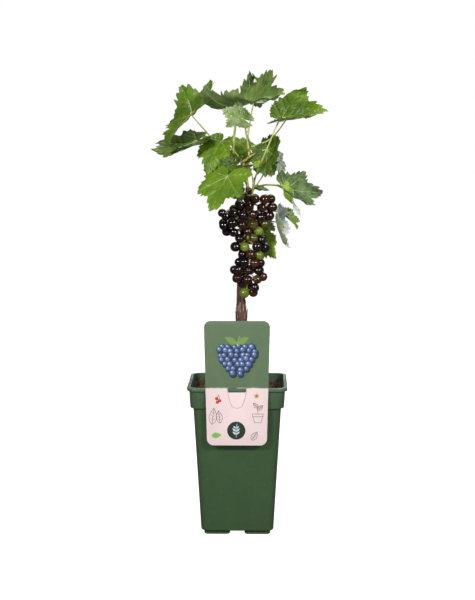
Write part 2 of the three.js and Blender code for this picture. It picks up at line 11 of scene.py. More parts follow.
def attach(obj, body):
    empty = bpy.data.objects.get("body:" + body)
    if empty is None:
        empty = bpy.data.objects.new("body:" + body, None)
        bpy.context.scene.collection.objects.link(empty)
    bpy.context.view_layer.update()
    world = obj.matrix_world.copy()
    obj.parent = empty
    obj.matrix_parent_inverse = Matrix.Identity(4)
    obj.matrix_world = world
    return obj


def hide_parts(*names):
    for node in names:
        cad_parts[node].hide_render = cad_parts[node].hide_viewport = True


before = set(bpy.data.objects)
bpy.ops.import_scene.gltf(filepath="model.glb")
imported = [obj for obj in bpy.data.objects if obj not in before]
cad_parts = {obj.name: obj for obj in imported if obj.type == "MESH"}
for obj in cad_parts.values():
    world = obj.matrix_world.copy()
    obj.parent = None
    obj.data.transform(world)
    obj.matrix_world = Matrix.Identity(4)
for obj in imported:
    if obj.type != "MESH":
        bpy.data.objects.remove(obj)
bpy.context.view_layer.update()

# Pot
# A deep square nursery pot of dark green plastic, moulded in one piece with a wall of 2 mm. Its body tapers down
# from a stepped-out band under a folded lip, notched at both sides, to four square feet that it stands on.
POT_FLOOR = [0.0536, 0.0064]  # half width and height of the underside between the feet
POT_OUTSIDE = [
    [0.0548, 0.0077], [0.0656, 0.1925], [0.0664, 0.1955], [0.0701, 0.1965], [0.0717, 0.2224],
    [0.0742, 0.2224], [0.075, 0.2234], [0.075, 0.2268], [0.0738, 0.228],
]
POT_INSIDE = [[0.0697, 0.228], [0.0681, 0.1985], [0.0636, 0.1955], [0.0529, 0.008]]
POT_CORNER, POT_EDGE = 0.0105, 0.0006
FOOT = {"half": 0.0195, "middle": 0.0305, "corner": 0.005, "high": 0.0075, "chamfer": 0.0012}
LIP_NOTCH = {"long": 0.028, "deep": 0.0052, "at": 0.075}
POT_DUST_AND_HIGHLIGHT = {"dust_and_highlight": (0.185, 0.23), "lip_highlight": (0.2215, 0.2285)}  # heights over which the dust, with a painted highlight on the pot's upper part, and a painted highlight on the lip set in


def begin(add, stretch=(1, 1, 1), **sizes):
    """Adds a primitive with nothing else selected and opens it, in the object's own frame, for shaping."""
    bpy.ops.object.select_all(action="DESELECT")
    add(**sizes)
    bpy.context.object.scale = stretch
    bpy.ops.object.transform_apply(location=True, rotation=True, scale=True)
    bpy.ops.object.mode_set(mode="EDIT")
    bpy.ops.mesh.select_all(action="SELECT")


def pull(x=0, y=0, z=0):
    """Extrudes the selected faces and moves the new ones."""
    bpy.ops.mesh.extrude_region_move(TRANSFORM_OT_translate={"value": (x, y, z)})


def grow(rise, widen=1.0, about=(0, 0, 0)):
    """Extrudes the selected face upwards and scales its outline about a point."""
    pull(z=rise)
    bpy.ops.transform.resize(value=(widen, widen, 1), center_override=about)


def set_down(name):
    """Leaves edit mode with the faces turned outwards and names the piece."""
    bpy.ops.mesh.select_all(action="SELECT")
    bpy.ops.mesh.normals_make_consistent(inside=False)
    bpy.ops.object.mode_set(mode="OBJECT")
    piece = bpy.context.object
    piece.name = piece.data.name = name
    return piece


def take_up(*pieces):
    """Selects these pieces and nothing else; the last one is worked on."""
    bpy.ops.object.select_all(action="DESELECT")
    for piece in pieces:
        piece.select_set(True)
    bpy.context.view_layer.objects.active = pieces[-1]


def cut_away(piece, cutter):
    """Cuts one object out of another and throws the cutter away."""
    cut = piece.modifiers.new("cut", "BOOLEAN")
    cut.operation, cut.object, cut.solver = "DIFFERENCE", cutter, "EXACT"
    bpy.context.view_layer.objects.active = piece
    bpy.ops.object.modifier_apply(modifier="cut")
    bpy.data.objects.remove(cutter)


def soften(piece, width):
    """Rounds the sharp edges of a piece and shades it."""
    take_up(piece)
    sharp = math.radians(35)
    edge = piece.modifiers.new("edge", "BEVEL")
    edge.width, edge.segments, edge.limit_method, edge.angle_limit = width, 2, "ANGLE", sharp
    bpy.ops.object.modifier_apply(modifier="edge")
    bpy.ops.object.shade_smooth_by_angle(angle=sharp)


def hand_over(piece, slot, finishes, *nodes):
    """Gives a piece its materials and its place on the plant's one body, and hides the solids it stands for."""
    for finish in finishes:
        piece.data.materials.append(finish)
    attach(piece, "root")
    if nodes:
        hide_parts(*nodes)


def open_finish(name, roughness=0.5):
    """A new material, its node tree and its shader."""
    finish = bpy.data.materials.new(name)
    finish.use_nodes = True
    shader = finish.node_tree.nodes["Principled BSDF"]
    shader.inputs["Roughness"].default_value = roughness
    return finish, finish.node_tree, shader


def put(tree, kind, feeds=(), **settings):
    """Adds a shader node; feeds gives its inputs values or other nodes' outputs."""
    made = tree.nodes.new(kind)
    for key, value in settings.items():
        setattr(made, key, value)
    for key, value in dict(feeds).items():
        if isinstance(value, bpy.types.NodeSocket):
            tree.links.new(value, made.inputs[key])
        else:
            made.inputs[key].default_value = value
    return made


def wire(tree, shader, **feeds):
    """Joins outputs to the shader's inputs; Base_Color stands for Base Color."""
    for key, value in feeds.items():
        tree.links.new(value, shader.inputs[key.replace("_", " ")])


def place_on(tree):
    """The place on the piece, in metres."""
    return tree.nodes.new("ShaderNodeTexCoord").outputs["Object"]


def axes_of(tree):
    """The place on the piece, taken apart into X, Y and Z."""
    return put(tree, "ShaderNodeSeparateXYZ", {"Vector": place_on(tree)}).outputs


def times(tree, first, second):
    """Multiplies two masks, or a mask by a number."""
    return put(tree, "ShaderNodeMath", {0: first, 1: second}, operation="MULTIPLY").outputs[0]


def remap(tree, value, span=(0, 1), ends=(0, 1)):
    """Turns a value that runs over a span into one that runs between two ends."""
    return put(tree, "ShaderNodeMapRange", {
        "Value": value, "From Min": span[0], "From Max": span[1], "To Min": ends[0], "To Max": ends[1],
    }).outputs["Result"]


def blend_tones(tree, amount, first, second):
    """Mixes two colours by a mask."""
    first, second = [tone if isinstance(tone, bpy.types.NodeSocket) else (*tone, 1) for tone in (first, second)]
    return put(tree, "ShaderNodeMix", {0: amount, 6: first, 7: second}, data_type="RGBA").outputs[2]


# Uneven colour that moulded plastic, compost, card, bark and stalks share: two tones mixed by a soft noise
mottling = bpy.data.node_groups.new("mottling", "ShaderNodeTree")
for label, kind in [("Place", "Vector"), ("Light", "Color"), ("Dark", "Color"), ("Scale", "Float")]:
    mottling.interface.new_socket(label, in_out="INPUT", socket_type="NodeSocket" + kind)
for label, kind in [("Colour", "Color"), ("Mask", "Float")]:
    mottling.interface.new_socket(label, in_out="OUTPUT", socket_type="NodeSocket" + kind)
given = mottling.nodes.new("NodeGroupInput").outputs
clouds = put(mottling, "ShaderNodeTexNoise", {
    "Vector": given["Place"], "Scale": given["Scale"], "Detail": 6.0, "Roughness": 0.6,
})
spread = remap(mottling, clouds.outputs["Fac"], (0.35, 0.65))
taken = mottling.nodes.new("NodeGroupOutput").inputs
mottling.links.new(blend_tones(mottling, spread, given["Light"], given["Dark"]), taken["Colour"])
mottling.links.new(spread, taken["Mask"])


def mottle(tree, light, dark, scale, stretch=(1, 1, 1)):
    """Places the mottling on object coordinates, stretched along an axis where the grain runs."""
    place = put(tree, "ShaderNodeMapping", {"Vector": place_on(tree), "Scale": stretch})
    return put(tree, "ShaderNodeGroup", {
        "Place": place.outputs["Vector"], "Light": (*light, 1), "Dark": (*dark, 1), "Scale": scale,
    }, node_tree=mottling).outputs


def mottled_mask(tree, scale, stretch=(1, 1, 1)):
    """The mottling's mask by itself, for the pot's dusting and painted highlight, fibres, rust and specks."""
    return mottle(tree, (0, 0, 0), (1, 1, 1), scale, stretch)["Mask"]


def raise_grain(tree, shader, height, strength, distance):
    """Feeds a height to the shader as relief."""
    bump = put(tree, "ShaderNodeBump", {"Height": height, "Strength": strength, "Distance": distance})
    wire(tree, shader, Normal=bump.outputs["Normal"])


half, level = POT_FLOOR
begin(bpy.ops.mesh.primitive_plane_add, size=2 * half, location=(0, 0, level))
bpy.ops.mesh.bevel(offset=POT_CORNER, segments=6, affect="VERTICES")
for next_half, next_level in POT_OUTSIDE + POT_INSIDE:
    grow(next_level - level, next_half / half)
    half, level = next_half, next_level
pot = set_down("nursery_pot")
for side in (-1, 1):
    begin(
        bpy.ops.mesh.primitive_cube_add, size=1, location=(side * LIP_NOTCH["at"], 0, POT_OUTSIDE[-1][1]),
        stretch=(LIP_NOTCH["deep"], LIP_NOTCH["long"], LIP_NOTCH["deep"]),
    )
    cut_away(pot, set_down("notch"))
feet = []
for x in (-FOOT["middle"], FOOT["middle"]):
    for y in (-FOOT["middle"], FOOT["middle"]):
        start = FOOT["half"] - FOOT["chamfer"]
        begin(bpy.ops.mesh.primitive_plane_add, size=2 * start, location=(x, y, 0))
        bpy.ops.mesh.bevel(offset=FOOT["corner"], segments=4, affect="VERTICES")
        grow(FOOT["chamfer"], FOOT["half"] / start, (x, y, 0))
        grow(FOOT["high"] - FOOT["chamfer"])
        feet.append(set_down("foot"))
take_up(*feet, pot)
bpy.ops.object.join()
soften(pot, POT_EDGE)

pot_plastic, tree, shader = open_finish("pot_plastic")
green = mottle(tree, (0.054, 0.11, 0.044), (0.046, 0.095, 0.037), 26)
height = axes_of(tree)["Z"]
# Dust specks that thicken towards the band and lip: partly dust, and partly a painted highlight that makes the pot
# lighter at the top.
dust_highlight_mask = times(tree, mottled_mask(tree, 600), remap(tree, height, POT_DUST_AND_HIGHLIGHT["dust_and_highlight"], (0, 0.85)))
dust_and_highlight = blend_tones(tree, dust_highlight_mask, green["Colour"], (0.12, 0.2, 0.125))
# A lighter grey-green over the lip is a painted highlight.
lip_highlight = blend_tones(tree, remap(tree, height, POT_DUST_AND_HIGHLIGHT["lip_highlight"], (0, 0.2)), dust_and_highlight, (0.15, 0.2, 0.15))
cells = put(tree, "ShaderNodeTexVoronoi", {"Vector": place_on(tree), "Scale": 130.0})
specks = remap(tree, cells.outputs["Distance"], (0.05, 0.13), (0.5, 0))
wire(tree, shader, Base_Color=blend_tones(tree, specks, lip_highlight, (0.15, 0.22, 0.15)),
     Roughness=remap(tree, green["Mask"], ends=(0.4, 0.5)))
grain = put(tree, "ShaderNodeTexNoise", {"Vector": place_on(tree), "Scale": 900.0, "Detail": 3.0})
raise_grain(tree, shader, grain.outputs["Fac"], 0.12, 0.0003)
hand_over(pot, "pot_plastic", [pot_plastic], "pot")

# Compost
# Dark brown peat with bark chips and pale fibres, filled to below the lip, higher towards the back left and
# drawn up in a low collar round the trunk. Its crumbs and chips lie loose on top.
COMPOST = {"half": 0.0679, "corner": 0.0115, "steps": 120, "foot": 0.1993, "collar": 0.213, "bed": 0.208}
COMPOST_RISE = {"high": 0.004, "reach": 0.05}  # how much higher it lies at the back, and how far from the middle
COMPOST_SHAPE = {"lean": 0.003, "lumps": 0.001, "rough": 0.0017, "grit": 0.0012}
CRUMBS, CHIPS, CRUMB_REACH, CHIP_REACH, TRUNK_CLEAR = 620, 150, 0.066, 0.063, 0.014


def compost_level(x, y):
    """Height of the compost at a place."""
    lean = COMPOST_SHAPE["lean"] * (1 - x / 0.09 + y / 0.16)
    lumps = COMPOST_SHAPE["lumps"] * math.sin(x / 0.009) * math.cos(y / 0.011)
    share = min(max((math.hypot(x, y) - 0.016) / 0.04, 0), 1)
    level = COMPOST["collar"] + (COMPOST["bed"] + lean + lumps - COMPOST["collar"]) * share
    level += COMPOST_RISE["high"] * min(max(y / COMPOST_RISE["reach"], 0), 1) ** 2
    level += COMPOST_SHAPE["rough"] * noise.fractal(Vector((x, y, 0)) * 130, 0.8, 2.2, 5)
    return level + COMPOST_SHAPE["grit"] * noise.noise(Vector((x, y, 3)) * 420)


class Heap:
    """Many small shapes gathered into one mesh: corners in millimetres, faces, and each face's finish."""

    def __init__(self):
        self.corners, self.faces, self.finishes, self.count = [], [], [], 0

    def add(self, corners, faces, finish=0):
        self.corners.append(np.asarray(corners, dtype=float))
        self.faces += [tuple(self.count + corner for corner in face) for face in faces]
        self.finishes += [finish] * len(faces)
        self.count += len(corners)

    def piece(self, name, smooth=40):
        mesh = bpy.data.meshes.new(name)
        mesh.from_pydata((np.vstack(self.corners) / 1000).tolist(), [], self.faces)
        piece = bpy.data.objects.new(name, mesh)
        bpy.context.collection.objects.link(piece)
        take_up(piece)
        bpy.ops.object.shade_smooth_by_angle(angle=math.radians(smooth))
        mesh.polygons.foreach_set("material_index", self.finishes)
        return piece


def ball(subdivisions):
    """Corners and faces of a ball of radius 1, the start of small round shapes."""
    begin(bpy.ops.mesh.primitive_ico_sphere_add, subdivisions=subdivisions, radius=1)
    piece = set_down("ball")
    corners = np.array([vertex.co[:] for vertex in piece.data.vertices])
    faces = [tuple(face.vertices) for face in piece.data.polygons]
    bpy.data.objects.remove(piece)
    return corners, faces


def tube_faces(steps, sides):
    """Faces of an open tube: each step runs from one ring of corners to the next."""
    edges = [(step * sides + k, step * sides + (k + 1) % sides) for step in range(steps) for k in range(sides)]
    return [(a, b, b + sides, a + sides) for a, b in edges]


def turned(random):
    """A random turn as three rows."""
    spin = np.linalg.qr(random.normal(size=(3, 3)))[0]
    return spin * np.sign(np.linalg.det(spin))


flat_level = (COMPOST["foot"] + COMPOST["collar"]) / 2
begin(
    bpy.ops.mesh.primitive_grid_add, size=2 * COMPOST["half"], location=(0, 0, flat_level),
    x_subdivisions=COMPOST["steps"], y_subdivisions=COMPOST["steps"],
)
bpy.ops.mesh.select_all(action="DESELECT")
bpy.ops.mesh.select_non_manifold()
bpy.ops.mesh.extrude_edges_move(TRANSFORM_OT_translate={"value": (0, 0, COMPOST["foot"] - flat_level)})
bpy.ops.mesh.edge_face_add()
compost = set_down("compost")
straight = COMPOST["half"] - COMPOST["corner"]
for vertex in compost.data.vertices:
    x, y, z = vertex.co
    past = [max(abs(x) - straight, 0), max(abs(y) - straight, 0)]
    if min(past) > 0:
        rounding = max(past) / math.hypot(*past)
        x, y = [math.copysign(straight + beyond * rounding, side) for beyond, side in zip(past, (x, y))]
    vertex.co = (x, y, compost_level(x, y) if z > COMPOST["foot"] + 1e-4 else z)
bpy.ops.object.shade_smooth()

peat, tree, shader = open_finish("peat", 0.95)
brown = mottle(tree, (0.06, 0.026, 0.015), (0.01, 0.005, 0.003), 320)
fibres = mottled_mask(tree, 1300, (1, 0.2, 1))
wire(tree, shader, Base_Color=blend_tones(
    tree, times(tree, fibres, brown["Mask"]), brown["Colour"], (0.16, 0.075, 0.04)))
raise_grain(tree, shader, fibres, 0.8, 0.0006)
hand_over(compost, "compost", [peat], "soil")


def plain_finish(name, light, dark, scale, roughness, stretch=(1, 1, 1), relief=()):
    """A finish of two mottled tones; relief gives its strength and depth."""
    finish, tree, shader = open_finish(name, roughness)
    tones = mottle(tree, light, dark, scale, stretch)
    wire(tree, shader, Base_Color=tones["Colour"])
    if relief:
        raise_grain(tree, shader, tones["Mask"], *relief)
    return finish


random = np.random.default_rng(5)
lump_corners, lump_faces = ball(2)
crumbs, chips = Heap(), Heap()
for _ in range(CRUMBS):
    x, y = random.uniform(-CRUMB_REACH, CRUMB_REACH, 2)
    if math.hypot(x, y) < TRUNK_CLEAR:
        continue
    size = random.uniform(0.7, 2.3) * random.uniform(0.6, 1, 3)
    rough = 1 + 0.25 * random.normal(size=(len(lump_corners), 1)).clip(-1, 1)
    shape = (lump_corners * rough * size) @ turned(random)
    crumbs.add(shape + np.array([x, y, compost_level(x, y)]) * 1000 + [0, 0, 0.3], lump_faces)
for _ in range(CHIPS):
    x, y = random.uniform(-CHIP_REACH, CHIP_REACH, 2)
    if math.hypot(x, y) < TRUNK_CLEAR:
        continue
    long, wide, thick = random.uniform(4, 12), random.uniform(0.7, 3), random.uniform(0.4, 1.2)
    heading, tilt = random.uniform(0, 2 * math.pi), random.normal() * 0.3
    along = np.array([math.cos(heading) * math.cos(tilt), math.sin(heading) * math.cos(tilt), math.sin(tilt)])
    across = np.array([-math.sin(heading), math.cos(heading), 0])
    over = np.cross(along, across)
    middle = np.array([x, y, compost_level(x, y)]) * 1000 + [0, 0, 0.6]
    corners = []
    for share, width in ((-0.5, 0.4), (-0.2, 1), (0.25, 0.9), (0.5, 0.3)):
        for side, up in ((-1, -1), (1, -1), (1, 1), (-1, 1)):
            bow = 0.5 * (1 - 4 * share * share)
            corners.append(
                middle + along * long * share + across * wide * width * side / 2 + over * (thick * up / 2 + bow))
    chips.add(corners, [(3, 2, 1, 0), (12, 13, 14, 15)] + tube_faces(3, 4))
hand_over(crumbs.piece("compost_crumbs", 60), "compost", [peat])
chip_bark = plain_finish("chip_bark", (0.27, 0.13, 0.065), (0.08, 0.034, 0.018), 240, 0.85, (1, 1, 3))
hand_over(chips.piece("bark_chips"), "compost", [chip_bark])

# Label card
# Coated card printed green above and pale pink below a wavy line. It hangs on the pot's front lip by a tongue cut
# out of it, which goes over the lip and down inside, and it is folded up behind itself as far as the lip.
CARD = {"top": 0.329, "bottom": 0.1425, "top_half": 0.049, "bottom_half": 0.0444, "corner": 0.01}
CARD_FACE, CARD_THICK, FOLD_THICK, CARD_EDGE = -0.0763, 0.0007, 0.0009, 0.00012
TONGUE = {
    "half": 0.0146, "top": 0.2295, "end": 0.1985, "taper": 0.5, "round": 0.0068, "inside": -0.0686, "drop": 0.015,
    "root": 0.0009, "root_long": 0.0014, "over_lip": 0.0004, "thick": 0.0007, "play": 0.001,
}
LIP_TOP, LIP_UNDERSIDE = 0.2283, 0.2221


def pick(test):
    """Selects the corners of the open piece that pass a test."""
    bpy.ops.mesh.select_all(action="DESELECT")
    bpy.ops.mesh.select_mode(type="VERT")
    shape = bmesh.from_edit_mesh(bpy.context.object.data)
    for corner in shape.verts:
        corner.select = test(corner.co)
    shape.select_flush(True)
    bmesh.update_edit_mesh(bpy.context.object.data)


def card_sheet(name, low, high, face, thick):
    """A flat sheet of the card, upright, its edges following the card's taper."""
    def half_at(level):
        share = (level - CARD["bottom"]) / (CARD["top"] - CARD["bottom"])
        return CARD["bottom_half"] + share * (CARD["top_half"] - CARD["bottom_half"])

    middle = (low + high) / 2
    begin(
        bpy.ops.mesh.primitive_plane_add, size=1, location=(0, face, middle), rotation=(math.pi / 2, 0, 0),
        stretch=(2 * half_at(high), high - low, 1),
    )
    pick(lambda corner: corner.z < middle)
    bpy.ops.transform.resize(value=(half_at(low) / half_at(high), 1, 1), center_override=(0, face, low))
    pick(lambda corner: corner.z < middle or high == CARD["top"])
    bpy.ops.mesh.bevel(offset=CARD["corner"], segments=8, affect="VERTICES")
    bpy.ops.mesh.select_all(action="SELECT")
    pull(y=thick)
    return set_down(name)


card = card_sheet("label_card_front", CARD["bottom"], CARD["top"], CARD_FACE, CARD_THICK)
halfway = (TONGUE["top"] + TONGUE["end"]) / 2
begin(
    bpy.ops.mesh.primitive_plane_add, size=1, rotation=(math.pi / 2, 0, 0), location=(0, CARD_FACE - 0.002, halfway),
    stretch=(2 * TONGUE["half"], TONGUE["top"] - TONGUE["end"], 1),
)
pick(lambda corner: corner.z < halfway)
bpy.ops.transform.resize(value=(TONGUE["taper"], 1, 1), center_override=(0, CARD_FACE, TONGUE["end"]))
bpy.ops.mesh.bevel(offset=TONGUE["round"], segments=10, affect="VERTICES")
bpy.ops.mesh.select_all(action="SELECT")
pull(y=0.005)
cut_away(card, set_down("window"))
back = card_sheet("label_card_back", CARD["bottom"], LIP_UNDERSIDE, CARD_FACE + CARD_THICK, FOLD_THICK)
begin(
    bpy.ops.mesh.primitive_cube_add, size=1,
    location=(0, CARD_FACE + TONGUE["root"], LIP_TOP + TONGUE["over_lip"]),
    stretch=(2 * TONGUE["half"] - TONGUE["play"], TONGUE["root_long"], TONGUE["thick"]),
)
rear = CARD_FACE + TONGUE["root"] + TONGUE["root_long"] / 2
for end in (TONGUE["inside"], TONGUE["inside"] + TONGUE["thick"]):
    pick(lambda corner: corner.y > rear - 1e-5)
    pull(y=end - rear)
    rear = end
pick(lambda corner: corner.y > TONGUE["inside"] - 1e-5 and corner.z < LIP_TOP + TONGUE["over_lip"])
pull(z=-TONGUE["drop"])
tongue = set_down("label_card_tongue")

printed_card, tree, shader = open_finish("printed_card")
place = axes_of(tree)
waves = put(tree, "ShaderNodeTexNoise", {"W": place["X"], "Scale": 62.0, "Detail": 4.0}, noise_dimensions="1D")
edge = put(tree, "ShaderNodeMath", {0: waves.outputs["Fac"], 1: 0.004, 2: 0.2262}, operation="MULTIPLY_ADD")
above = put(tree, "ShaderNodeMath", {0: place["Z"], 1: edge.outputs[0]}, operation="SUBTRACT").outputs[0]
upper = remap(tree, above, (-0.0002, 0.0002))
fringe = times(tree, remap(tree, above, (0, 0.0014), (1, 0)), upper)
chalk = mottle(tree, (0.126, 0.193, 0.102), (0.111, 0.174, 0.09), 60)
blush = mottle(tree, (0.88, 0.705, 0.695), (0.86, 0.68, 0.67), 18)
halves = blend_tones(tree, upper, blush["Colour"], chalk["Colour"])
wire(tree, shader, Base_Color=blend_tones(tree, fringe, halves, (0.75, 0.72, 0.66)))
raise_grain(tree, shader, chalk["Mask"], 0.08, 0.0002)
for sheet, *nodes in ((card, "label_card"), (back,), (tongue,)):
    soften(sheet, CARD_EDGE)
    hand_over(sheet, "card", [printed_card], *nodes)

# Printed marks on the card
# Flat ink shapes of the maker's own plain design: a tapering heap of round blue fruit under two leaves on the
# green; below it a dark roundel with a sprig, line-drawn leaves, a potted seedling, red berries and a yellow flower.
# A thin dark line round the tongue's cut, in the drawings' ink, is painted shade of the gap at the cut.
INKS = {
    "ink_dark": (0.02, 0.045, 0.025), "ink_blue": (0.035, 0.055, 0.16), "ink_sky": (0.13, 0.2, 0.42),
    "ink_white": (0.62, 0.7, 0.78), "ink_leaf": (0.22, 0.33, 0.09), "ink_line_and_cut_shade": (0.16, 0.12, 0.12),
    "ink_red": (0.62, 0.07, 0.02), "ink_yellow": (0.66, 0.5, 0.08), "ink_lime": (0.25, 0.5, 0.11),
}
printed = {ink: Heap() for ink in INKS}


def print_shape(ink, outline, lift):
    """Lays a flat shape, an outline of x and height in millimetres, on the card's face."""
    face = CARD_FACE * 1000
    count = len(outline)
    front = [(x, face - lift, z) for x, z in outline]
    rear = [(x, face + 0.05, z) for x, z in outline]
    sides = [((i + 1) % count, i, i + count, (i + 1) % count + count) for i in range(count)]
    printed[ink].add(front + rear, [tuple(range(count)), tuple(range(2 * count - 1, count - 1, -1))] + sides)


def print_round(ink, x, z, radius, lift, points=20):
    turns = [2 * math.pi * i / points for i in range(points)]
    print_shape(ink, [(x + radius * math.cos(turn), z + radius * math.sin(turn)) for turn in turns], lift)


def print_line(points, width=0.55, ink="ink_line_and_cut_shade", lift=0.08):
    """A drawn line: one thin bar for each stretch."""
    for (x0, z0), (x1, z1) in zip(points, points[1:]):
        long = math.hypot(x1 - x0, z1 - z0)
        dx, dz = (x1 - x0) / long * width / 2, (z1 - z0) / long * width / 2
        print_shape(ink, [
            (x0 - dx + dz, z0 - dz - dx), (x1 + dx + dz, z1 + dz - dx), (x1 + dx - dz, z1 + dz + dx),
            (x0 - dx - dz, z0 - dz + dx),
        ], lift)


def leaf_shape(x, z, long, turn, wide):
    """Outline of a plain pointed leaf from its foot."""
    sides = [[0, 0], [0.15, 0.6], [0.4, 1], [0.7, 0.7], [1, 0], [0.7, -0.7], [0.4, -1], [0.15, -0.6]]
    cos, sin = math.cos(turn), math.sin(turn)
    return [(x + long * (a * cos - b * wide * sin), z + long * (a * sin + b * wide * cos)) for a, b in sides]


def draw_leaf(x, z, long, turn, wide):
    outline = leaf_shape(x, z, long, turn, wide)
    print_line(outline + outline[:1])
    print_line([outline[0], outline[4]])
    for share in (0.25, 0.45, 0.65):
        for side in (-1, 1):
            root = (x + long * share * math.cos(turn), z + long * share * math.sin(turn))
            branch, reach = turn + side * 0.8, long * wide * 0.75
            print_line([root, (root[0] + reach * math.cos(branch), root[1] + reach * math.sin(branch))], 0.4)


for row, (z, count) in enumerate([(290, 6), (284, 7), (277.5, 7), (271, 6), (264, 5), (257, 4), (250.5, 2)]):
    for i in range(count):
        x = (i - (count - 1) / 2) * 8.8 + random.normal() * 1.1
        high = z + random.normal() * 1.0
        size = 4.8 + random.uniform(-0.7, 0.9)
        step = 0.008 * (i + row * 7)
        print_round("ink_dark", x + 0.9, high - 1.3, size + 0.4, 0.05 + step)
        print_round("ink_blue", x, high, size, 0.052 + step)
        print_round("ink_sky", x - 0.7, high + 0.8, size * 0.66, 0.054 + step)
        print_round("ink_white", x - 1.4, high + 1.7, size * 0.24, 0.056 + step)
for turn in (0.5, math.pi - 0.5):
    print_shape("ink_leaf", leaf_shape(0, 295, 21, turn, 0.24), 0.12)
    print_line([(0, 295), (17 * math.cos(turn), 295 + 17 * math.sin(turn))], 0.5, "ink_lime", 0.2)
print_line([(0, 294), (1, 300), (4, 306)], 1.4, "ink_lime", 0.2)
# A thin dark line round the tongue's cut: painted shade of the gap at the cut.
half, low = TONGUE["half"] * 1000, TONGUE["end"] * 1000
cut = [(half, 226), (half * 0.8, 212), (half * 0.5, 201), (half * 0.24, low + 0.6), (0, low - 0.2)]
print_line(cut + [(-x, z) for x, z in cut[-2::-1]], 0.35)
print_round("ink_dark", -1, 165, 13.5, 0.1, points=40)
print_line([(-1, 155), (-1.6, 164), (0, 175)], 0.8, "ink_white", 0.16)
for z, long in ((159, 7), (163.5, 7.5), (168, 6)):
    for turn in (0.7, math.pi - 0.7):
        print_shape("ink_white", leaf_shape(-1.2, z, long, turn, 0.22), 0.16)
draw_leaf(-37, 174, 25, 1.45, 0.24)
draw_leaf(-25, 176, 19, 1.7, 0.26)
draw_leaf(22, 150.5, 15, 1.0, 0.3)
print_line([(24, 186), (26, 177), (36, 177), (38, 186), (24, 186)])
print_line([(23, 190), (39, 190), (39, 186), (23, 186), (23, 190)])
print_line([(31, 190), (30.6, 197), (31.4, 204)])
draw_leaf(31, 196, 10, 0.75, 0.3)
draw_leaf(31, 199, 10, 2.3, 0.3)
for x, z in ((-30, 213), (-25.6, 210), (-29, 207.6)):
    print_round("ink_red", x, z, 2.5, 0.1)
print_line([(-30, 213), (-27, 219), (-25.6, 210)], 0.5)
for petal in range(5):
    turn = 0.3 + 2 * math.pi * petal / 5
    print_round("ink_yellow", 29 + 2.3 * math.cos(turn), 217 + 2.3 * math.sin(turn), 1.5, 0.1)
print_round("ink_line_and_cut_shade", 29, 217, 1.0, 0.14)
print_shape("ink_lime", leaf_shape(-38, 157, 15, 0.1, 0.3), 0.1)
for ink, colour in INKS.items():
    finish = plain_finish(ink, colour, tuple(0.86 * part for part in colour), 300, 0.5)
    hand_over(printed[ink].piece("card_" + ink), "card", [finish])

# Trunk
# One woody stem with dark reddish brown bark that splits into long fibrous ridges, swollen at the graft a hand's
# width above the compost. It leans slightly to the right and narrows to the fork under the leaves.
TRUNK = [
    [1, 1, 211, 12.6], [2, 1, 221, 9], [3.5, 1, 245, 7.6], [5, 0, 300, 7.4], [5.6, 0, 329, 9.3],
    [5, 0, 346, 7.2], [4.6, 1, 368, 6.5], [8, 3, 430, 6.1], [13.5, 4, 490, 5.4], [16, 3, 522, 4.4],
]
TRUNK_STATIONS, TRUNK_SIDES = 150, 40
BARK = {"proud": 0.0002, "split": 0.0016, "graft": 0.0014, "lumps": 0.0003, "graft_at": 0.329, "graft_long": 0.016}
FLAKES = {"all": 46, "at_graft": 30}


def limb_point(rows, share):
    """A point on the smooth middle line through rows of [x, y, height, ...], and the radius there."""
    points = [np.array(row[:3], dtype=float) for row in rows]
    place = share * (len(points) - 1)
    row = min(int(place), len(points) - 2)
    part = place - row
    p1, p2 = points[row], points[row + 1]
    p0 = points[row - 1] if row > 0 else 2 * p1 - p2
    p3 = points[row + 2] if row + 2 < len(points) else 2 * p2 - p1
    t0, t1, t2 = [math.sqrt(np.linalg.norm(b - a)) for a, b in ((p0, p1), (p1, p2), (p2, p3))]
    m1 = ((p1 - p0) / t0 - (p2 - p0) / (t0 + t1) + (p2 - p1) / t1) * t1
    m2 = ((p2 - p1) / t1 - (p3 - p1) / (t1 + t2) + (p3 - p2) / t2) * t1
    s, s2, s3 = part, part * part, part ** 3
    point = (2 * s3 - 3 * s2 + 1) * p1 + (s3 - 2 * s2 + s) * m1 + (3 * s2 - 2 * s3) * p2 + (s3 - s2) * m2
    return point, rows[row][3] + (rows[row + 1][3] - rows[row][3]) * part


middle, radius = limb_point(TRUNK, 0)
begin(
    bpy.ops.mesh.primitive_circle_add, vertices=TRUNK_SIDES, radius=radius / 1000, fill_type="NGON",
    location=tuple(middle / 1000),
)
for station in range(1, TRUNK_STATIONS + 1):
    next_middle, next_radius = limb_point(TRUNK, station / TRUNK_STATIONS)
    shift = (next_middle - middle) / 1000
    pull(*shift)
    ratio = next_radius / radius
    bpy.ops.transform.resize(value=(ratio, ratio, 1), center_override=tuple(next_middle / 1000))
    middle, radius = next_middle, next_radius
trunk = set_down("vine_trunk")
stations = [limb_point(TRUNK, i / 60)[0] / 1000 for i in range(61)]
for vertex in trunk.data.vertices:
    axis = min(stations, key=lambda point: abs(point[2] - vertex.co.z))
    out = Vector((vertex.co.x - axis[0], vertex.co.y - axis[1], 0))
    if out.length < 1e-5:
        continue
    around = out.normalized()
    ridges = abs(noise.noise(Vector((around.x * 4.2, around.y * 4.2, vertex.co.z * 26))))
    ridges += 0.5 * abs(noise.noise(Vector((around.x * 9, around.y * 9, vertex.co.z * 60))))
    swelling = math.exp(-((vertex.co.z - BARK["graft_at"]) / BARK["graft_long"]) ** 2)
    lumps = noise.noise(Vector((around.x * 1.6, around.y * 1.6, vertex.co.z * 60)))
    vertex.co += around * (
        BARK["proud"] - BARK["split"] * ridges + (BARK["graft"] * swelling + BARK["lumps"]) * lumps)
bpy.ops.object.shade_smooth_by_angle(angle=math.radians(60))

